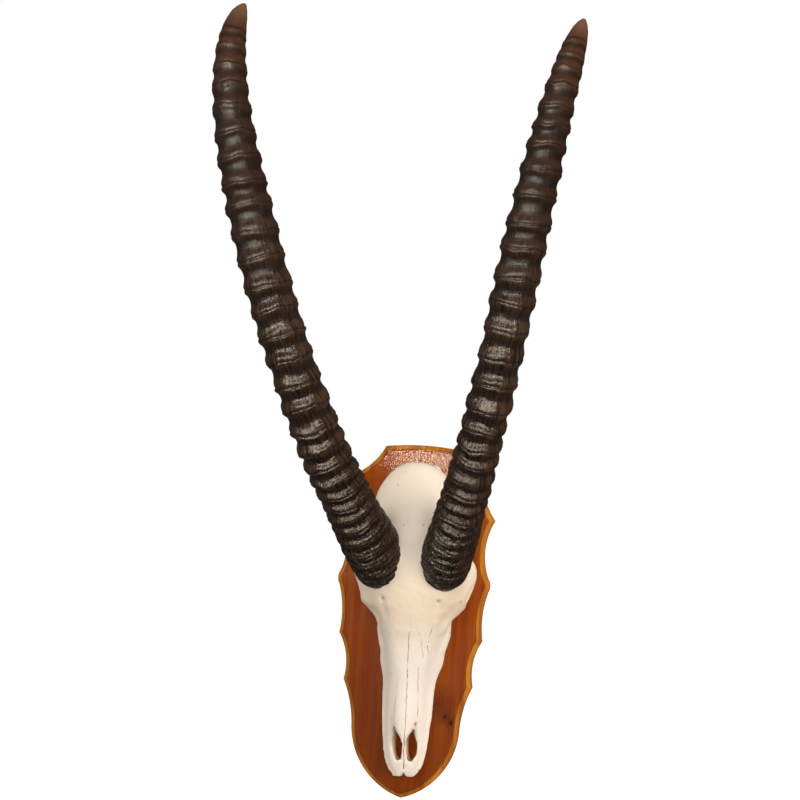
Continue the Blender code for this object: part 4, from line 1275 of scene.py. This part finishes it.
def board_loop(inset, spacing=0.0025):
    """The board's outline moved in by the inset, with the same number of points for any inset."""
    corners = [(0.0, BOARD_TOP)] + [(x, z) for x, z, _ in BOARD_STRETCHES]
    arcs, counts = [], []
    for start, (x, z, bulge) in zip(corners, BOARD_STRETCHES):
        centre, radius = arc_of(start, (x, z), bulge)
        arcs.append((centre, abs(radius - inset)))
        counts.append(max(4, round(math.hypot(x - start[0], z - start[1]) / spacing)))
    moved = [meeting(arcs[0], None, np.array(corners[0]) - (0, inset))]
    for index in range(len(arcs) - 1):
        moved.append(meeting(arcs[index], arcs[index + 1], np.array(corners[index + 1])))
    moved.append(meeting(arcs[-1], None, np.array(corners[-1]) + (0, inset)))
    right = []
    for (centre, radius), start, end, count in zip(arcs, moved, moved[1:], counts):
        first = math.atan2(*(start - centre)[::-1])
        turn = math.remainder(math.atan2(*(end - centre)[::-1]) - first, math.tau)
        for step in range(count):
            angle = first + turn * step / count
            right.append((centre[0] + radius * math.cos(angle), centre[1] + radius * math.sin(angle)))
    point = tuple(moved[-1])
    return right + [point] + [(-x, z) for x, z in reversed(right[1:])]


def bridge(bm, loops):
    """Joins loops of points with quads and closes both ends."""
    rings = [[bm.verts.new(point) for point in loop] for loop in loops]
    for low, high in zip(rings, rings[1:]):
        for index in range(len(low)):
            after = (index + 1) % len(low)
            bm.faces.new((low[index], low[after], high[after], high[index]))
    bm.faces.new(list(reversed(rings[0])))
    bm.faces.new(rings[-1])
    bmesh.ops.recalc_face_normals(bm, faces=bm.faces)


def turned(bm, x, z, profile, sides=32):
    """A round plug square to the wall from its (radius, depth) profile."""
    loops = []
    for radius, depth in profile:
        loops.append([(x + radius * math.cos(math.tau * i / sides), -depth, z + radius * math.sin(math.tau * i / sides))
                      for i in range(sides)])
    bridge(bm, loops)


def make_board(settings):
    blank = put("blank", bpy.data.meshes.new("routed_board"))
    with opened(blank.data) as bm:
        bridge(bm, [[(x, -depth * MM, z) for x, z in board_loop(inset * MM)] for inset, depth in BOARD_PROFILE])
    cutters = []
    for name, shape in (("pocket", cut_pocket), ("holes", cut_holes)):
        cutter = put(name, bpy.data.meshes.new(name))
        with opened(cutter.data) as bm:
            shape(bm)
        step = blank.modifiers.new(name, "BOOLEAN")
        step.solver = "EXACT"
        step.object = cutter
        cutters.append(cutter)
    bpy.context.view_layer.update()
    cut = bpy.data.meshes.new_from_object(blank.evaluated_get(bpy.context.evaluated_depsgraph_get()))
    for obj in (blank, *cutters):
        bpy.data.objects.remove(obj, do_unlink=True)
    cut.name = "routed_board"
    cut.materials.clear()
    cut.materials.append(wood_material(settings))
    cut.shade_smooth()
    cut.set_sharp_from_angle(angle=math.radians(32))
    return place_piece(cut, "routed_board", "varnished_wood", "shield_plaque")


def cut_pocket(bm):
    """The round-ended pocket that takes the hanger."""
    wide, tall = POCKET_SIZE
    radius = tall / 2
    outline = []
    for index in range(48):
        angle = math.tau * (index + 0.5) / 48
        x = math.copysign(wide / 2 - radius, math.cos(angle)) + radius * math.cos(angle)
        outline.append((x, POCKET_Z + radius * math.sin(angle)))
    bridge(bm, [[(x, y, z) for x, z in outline] for y in (0.002, -POCKET_DEPTH)])


def cut_holes(bm):
    """Countersunk holes of the two skull screws and pilot holes of the hanger's screws."""
    for z in SKULL_SCREW_Z:
        turned(bm, SKULL_X * MM, z, ((0.0052, -0.0005), (0.0047, 0.0003), (0.0026, 0.0034), (0.0026, 0.0230)))
    for x in (-HANGER_SCREW_X, HANGER_SCREW_X):
        turned(bm, x, HANGER_Z, ((0.0018, 0.0020), (0.0018, 0.0150)), 16)


def make_fixings(settings):
    """The hanger and screws keep their solids and get a plated finish."""
    finish = zinc_material(settings)
    for name in FIXINGS:
        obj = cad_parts[name]
        for place in obj.material_slots:
            place.material = finish


def area_light(name, place, target, size, power, tint, shines):
    """A softbox that either shines in the trophy's gloss or lights it with plain light."""
    data = bpy.data.lights.new(name, "AREA")
    data.shape = "RECTANGLE"
    data.size, data.size_y = size
    data.energy = power
    data.color = tint
    obj = put(name, data)
    obj.location = place
    obj.rotation_euler = (Vector(target) - Vector(place)).to_track_quat("-Z", "Y").to_euler()
    obj.visible_diffuse = not shines
    obj.visible_glossy = shines


def make_camera(settings):
    """The photograph's view: from the right, a little below the middle, and rolled a few degrees."""
    place, target = Vector(CAMERA_PLACE), Vector(CAMERA_TARGET)
    ahead = (target - place).normalized()
    right = ahead.cross(Vector((0, 0, 1))).normalized()
    up = right.cross(ahead)
    roll = settings.camera_roll
    rolled_right = right * math.cos(roll) + up * math.sin(roll)
    rolled_up = up * math.cos(roll) - right * math.sin(roll)
    data = bpy.data.cameras.new("photo camera")
    data.sensor_width = 36.0
    data.lens = settings.camera_lens
    camera = put("photo camera", data)
    turn = Matrix((rolled_right, rolled_up, -ahead)).transposed().to_4x4()
    camera.matrix_world = Matrix.Translation(place) @ turn
    bpy.context.scene.camera = camera


def make_stage(settings):
    make_camera(settings)
    mesh = bpy.data.meshes.new("studio_floor")
    with opened(mesh) as bm:
        level = Matrix.Translation((0, 0, FLOOR_Z))
        bmesh.ops.create_circle(bm, cap_ends=True, segments=96, radius=80.0, matrix=level)
        bmesh.ops.recalc_face_normals(bm, faces=bm.faces)
    floor = put("studio_floor", mesh)
    made, node, shade = new_material("pale painted floor")
    place = node("ShaderNodeTexCoord").outputs["Object"]
    clouds = noise_at(node, place, (1, 1, 1), 400, 2)
    # The floor is lit as evenly as the wall of light behind it, and throws nothing back at the trophy.
    shade({
        "Base Color": lay_over(node, tuple(settings.floor_colour), [(clouds, (0.3, 0.7), 1.0, "#f6f5f3")]),
        "Roughness": 0.8,
        "Emission Color": (1.0, 1.0, 1.0, 1.0),
        "Emission Strength": 0.9,
    })
    mesh.materials.append(made)
    floor.visible_diffuse = False
    floor.visible_glossy = False

    warm, pale = (1.0, 0.93, 0.86), (1.0, 0.96, 0.92)
    area_light("ceiling softbox", (0.1, -1.3, 2.4), (0.0, -0.1, 0.2), (1.2, 0.7), settings.ceiling_power, pale, False)
    area_light("right softbox", (2.4, -1.8, 0.3), (0.0, -0.1, 0.1), (1.4, 1.8), settings.right_power, warm, False)
    area_light("left softbox", (-2.4, -1.6, 0.2), (0.0, -0.1, 0.1), (1.4, 1.8), settings.left_power, pale, False)
    area_light("front softbox", (0.5, -3.2, 0.4), (0.0, -0.1, 0.1), (2.4, 2.0), settings.front_power, warm, False)
    golden = (1.0, 0.91, 0.72)
    area_light("window", (-0.48, -2.6, 0.78), (0.0, -0.1, 0.3), (0.38, 0.94), settings.window_power, golden, True)

    world = bpy.data.worlds.new("white studio")
    bpy.context.scene.world = world
    world.use_nodes = True
    world.node_tree.nodes.clear()
    node = partial(add, world.node_tree)
    # Seen directly the studio is white. Its plain light comes from all round, and gloss mirrors a dim room.
    ray = node("ShaderNodeLightPath").outputs
    glow = node("ShaderNodeMapRange", {"Value": ray["Is Glossy Ray"], "To Min": settings.room_light, "To Max": 0.06})
    strength = node("ShaderNodeMapRange", {"Value": ray["Is Camera Ray"], "To Min": glow, "To Max": 1.0})
    tint = node("mix", ray["Is Camera Ray"], (1.0, 0.95, 0.90, 1.0), (1.0, 1.0, 1.0, 1.0))
    background = node("ShaderNodeBackground", {"Color": tint, "Strength": strength})
    node("ShaderNodeOutputWorld", {"Surface": background})
    bpy.context.scene.view_settings.view_transform = "Standard"
    bpy.context.scene.view_settings.look = "None"


class SkullSettings(bpy.types.PropertyGroup):
    cell: FloatProperty(name="Cell", description="Width of the cells that the bone is shaped in", default=0.0021,
                        min=0.001, max=0.006, subtype="DISTANCE", unit="LENGTH")
    seam_width: FloatProperty(name="Seam width", description="Half width of the seams between bones", default=0.00058,
                              min=0.0001, max=0.002, subtype="DISTANCE", unit="LENGTH")
    seam_depth: FloatProperty(name="Seam depth", description="Depth of the seams between bones", default=0.0005,
                              min=0.0, max=0.003, subtype="DISTANCE", unit="LENGTH")
    bone_colour: FloatVectorProperty(name="Bone", description="Colour of the bleached bone", size=4,
                                     default=colour("#efe2d0"), min=0, max=1, subtype="COLOR")
    warm_colour: FloatVectorProperty(name="Warm bone", description="Colour of its warmer patches", size=4,
                                     default=colour("#f3e3d2"), min=0, max=1, subtype="COLOR")
    # Colour of the painted shade in the bone's hollows.
    hollow_shade_colour: FloatVectorProperty(name="Hollows", description="Colour of the bone deep in its hollows", size=4,
                                       default=colour("#b89468"), min=0, max=1, subtype="COLOR")


class HornSettings(bpy.types.PropertyGroup):
    ring_height: FloatProperty(name="Ring height", description="How far the highest rings stand out", default=0.0056,
                               min=0.0, max=0.01, subtype="DISTANCE", unit="LENGTH")
    ring_wander: FloatProperty(name="Ring wander", description="How far a ring strays from a plain circle",
                               default=0.0032, min=0.0, max=0.01, subtype="DISTANCE", unit="LENGTH")
    front_dip: FloatProperty(name="Front dip", description="How far the rings dip in front", default=0.0028,
                             min=-0.01, max=0.01, subtype="DISTANCE", unit="LENGTH")
    fibre_depth: FloatProperty(name="Fibre depth", description="Depth of the lengthwise fibres", default=0.0005,
                               min=0.0, max=0.002, subtype="DISTANCE", unit="LENGTH")
    flake_depth: FloatProperty(name="Flake depth", description="Roughness of the flaky foot", default=0.0010,
                               min=0.0, max=0.004, subtype="DISTANCE", unit="LENGTH")
    ridge_depth: FloatProperty(name="Ridge depth", description="Height of the fine crinkled ridges of the foot",
                               default=0.0006, min=0.0, max=0.002, subtype="DISTANCE", unit="LENGTH")
    seed: IntProperty(name="Seed", description="Changes the unevenness of the rings", default=3, min=0, max=999)
    steps: IntProperty(name="Steps", description="Rows of points from the foot to the tip", default=860, min=50, max=900)
    sides: IntProperty(name="Sides", description="Points in each row", default=114, min=16, max=256)
    dark_colour: FloatVectorProperty(name="Dark horn", description="Colour of the darkest layers", size=4,
                                     default=colour("#20160e"), min=0, max=1, subtype="COLOR")
    brown_colour: FloatVectorProperty(name="Brown horn", description="Colour of the paler layers", size=4,
                                      default=colour("#473324"), min=0, max=1, subtype="COLOR")
    tip_colour: FloatVectorProperty(name="Tip", description="Colour of the smooth tips", size=4,
                                    default=colour("#6e4d33"), min=0, max=1, subtype="COLOR")


class BoardSettings(bpy.types.PropertyGroup):
    stain_colour: FloatVectorProperty(name="Stain", description="Colour of the stained face", size=4,
                                      default=colour("#9f4a02"), min=0, max=1, subtype="COLOR")
    dark_colour: FloatVectorProperty(name="Dark grain", description="Colour of the darker growth bands", size=4,
                                     default=colour("#853400"), min=0, max=1, subtype="COLOR")
    edge_colour: FloatVectorProperty(name="Edge", description="Colour of the routed edge", size=4,
                                     default=colour("#cc7f24"), min=0, max=1, subtype="COLOR")


class FixingSettings(bpy.types.PropertyGroup):
    zinc_colour: FloatVectorProperty(name="Zinc", description="Colour of the plated steel", size=4,
                                     default=colour("#bdbebb"), min=0, max=1, subtype="COLOR")


class StageSettings(bpy.types.PropertyGroup):
    floor_colour: FloatVectorProperty(name="Floor", description="Colour of the studio floor", size=4,
                                      default=colour("#efeeec"), min=0, max=1, subtype="COLOR")
    room_light: FloatProperty(name="Room light", description="Strength of the light from all round", default=0.28,
                              min=0.0, max=5.0)
    ceiling_power: FloatProperty(name="Ceiling", description="Power of the softbox overhead, in watts", default=24.0,
                                 min=0.0, max=1000.0, unit="POWER")
    right_power: FloatProperty(name="Right", description="Power of the softbox on the right, in watts", default=62.0,
                               min=0.0, max=1000.0, unit="POWER")
    left_power: FloatProperty(name="Left", description="Power of the softbox on the left, in watts", default=34.0,
                              min=0.0, max=1000.0, unit="POWER")
    front_power: FloatProperty(name="Front", description="Power of the softbox in front, in watts", default=30.0,
                               min=0.0, max=1000.0, unit="POWER")
    window_power: FloatProperty(name="Window", description="Power of the window that shines in the gloss, in watts",
                                default=85.0, min=0.0, max=1000.0, unit="POWER")
    camera_lens: FloatProperty(name="Lens", description="Focal length on a 36 mm sensor", default=76.59,
                               min=10.0, max=400.0, unit="CAMERA")
    camera_roll: FloatProperty(name="Roll", description="How far the camera is rolled", default=math.radians(3.48),
                               min=-1.6, max=1.6, subtype="ANGLE", unit="ROTATION")


class TROPHY_OT_add_skull(bpy.types.Operator):
    """Make the bleached skull in place of its solid"""

    bl_idname = "trophy.add_skull"
    bl_label = "Skull"

    def execute(self, context):
        make_skull(context.scene.trophy_skull)
        return {"FINISHED"}


class TROPHY_OT_add_horns(bpy.types.Operator):
    """Make both ringed horns in place of their solids"""

    bl_idname = "trophy.add_horns"
    bl_label = "Horns"

    def execute(self, context):
        settings = context.scene.trophy_horns
        tree = horn_tree()
        finish = keratin_material(settings)
        for name, horn in HORNS.items():
            make_horn(name, horn, tree, finish, settings)
        return {"FINISHED"}


class TROPHY_OT_add_board(bpy.types.Operator):
    """Make the routed and varnished board in place of its solid"""

    bl_idname = "trophy.add_board"
    bl_label = "Board"

    def execute(self, context):
        make_board(context.scene.trophy_board)
        return {"FINISHED"}


class TROPHY_OT_finish_fixings(bpy.types.Operator):
    """Give the hanger and the screws their plated finish"""

    bl_idname = "trophy.finish_fixings"
    bl_label = "Fixings"

    def execute(self, context):
        make_fixings(context.scene.trophy_fixings)
        return {"FINISHED"}


class TROPHY_OT_add_stage(bpy.types.Operator):
    """Make the floor, the lights and the camera"""

    bl_idname = "trophy.add_stage"
    bl_label = "Stage"

    def execute(self, context):
        make_stage(context.scene.trophy_stage)
        return {"FINISHED"}


class TROPHY_PT_pieces(bpy.types.Panel):
    """Lists the pieces of the trophy and their settings"""

    bl_label = "Skull mount"
    bl_idname = "TROPHY_PT_pieces"
    bl_space_type = "VIEW_3D"
    bl_region_type = "UI"
    bl_category = "Trophy"

    def draw(self, context):
        for operator, settings in STEPS:
            box = self.layout.box()
            box.operator(operator.bl_idname)
            group = getattr(context.scene, settings)
            for name in group.bl_rna.properties.keys():
                if name not in ("name", "rna_type"):
                    box.prop(group, name)


GROUPS = {
    "trophy_skull": SkullSettings,
    "trophy_horns": HornSettings,
    "trophy_board": BoardSettings,
    "trophy_fixings": FixingSettings,
    "trophy_stage": StageSettings,
}
STEPS = (
    (TROPHY_OT_add_stage, "trophy_stage"),
    (TROPHY_OT_add_board, "trophy_board"),
    (TROPHY_OT_add_skull, "trophy_skull"),
    (TROPHY_OT_add_horns, "trophy_horns"),
    (TROPHY_OT_finish_fixings, "trophy_fixings"),
)


def register():
    for group in GROUPS.values():
        bpy.utils.register_class(group)
    for operator, _ in STEPS:
        bpy.utils.register_class(operator)
    bpy.utils.register_class(TROPHY_PT_pieces)
    for name, group in GROUPS.items():
        setattr(bpy.types.Scene, name, PointerProperty(type=group))


def unregister():
    for name in GROUPS:
        delattr(bpy.types.Scene, name)
    bpy.utils.unregister_class(TROPHY_PT_pieces)
    for operator, _ in STEPS:
        bpy.utils.unregister_class(operator)
    for group in GROUPS.values():
        bpy.utils.unregister_class(group)


def main():
    register()
    for operator, _ in STEPS:
        group, name = operator.bl_idname.split(".")
        getattr(getattr(bpy.ops, group), name)()


if __name__ == "__main__":
    main()
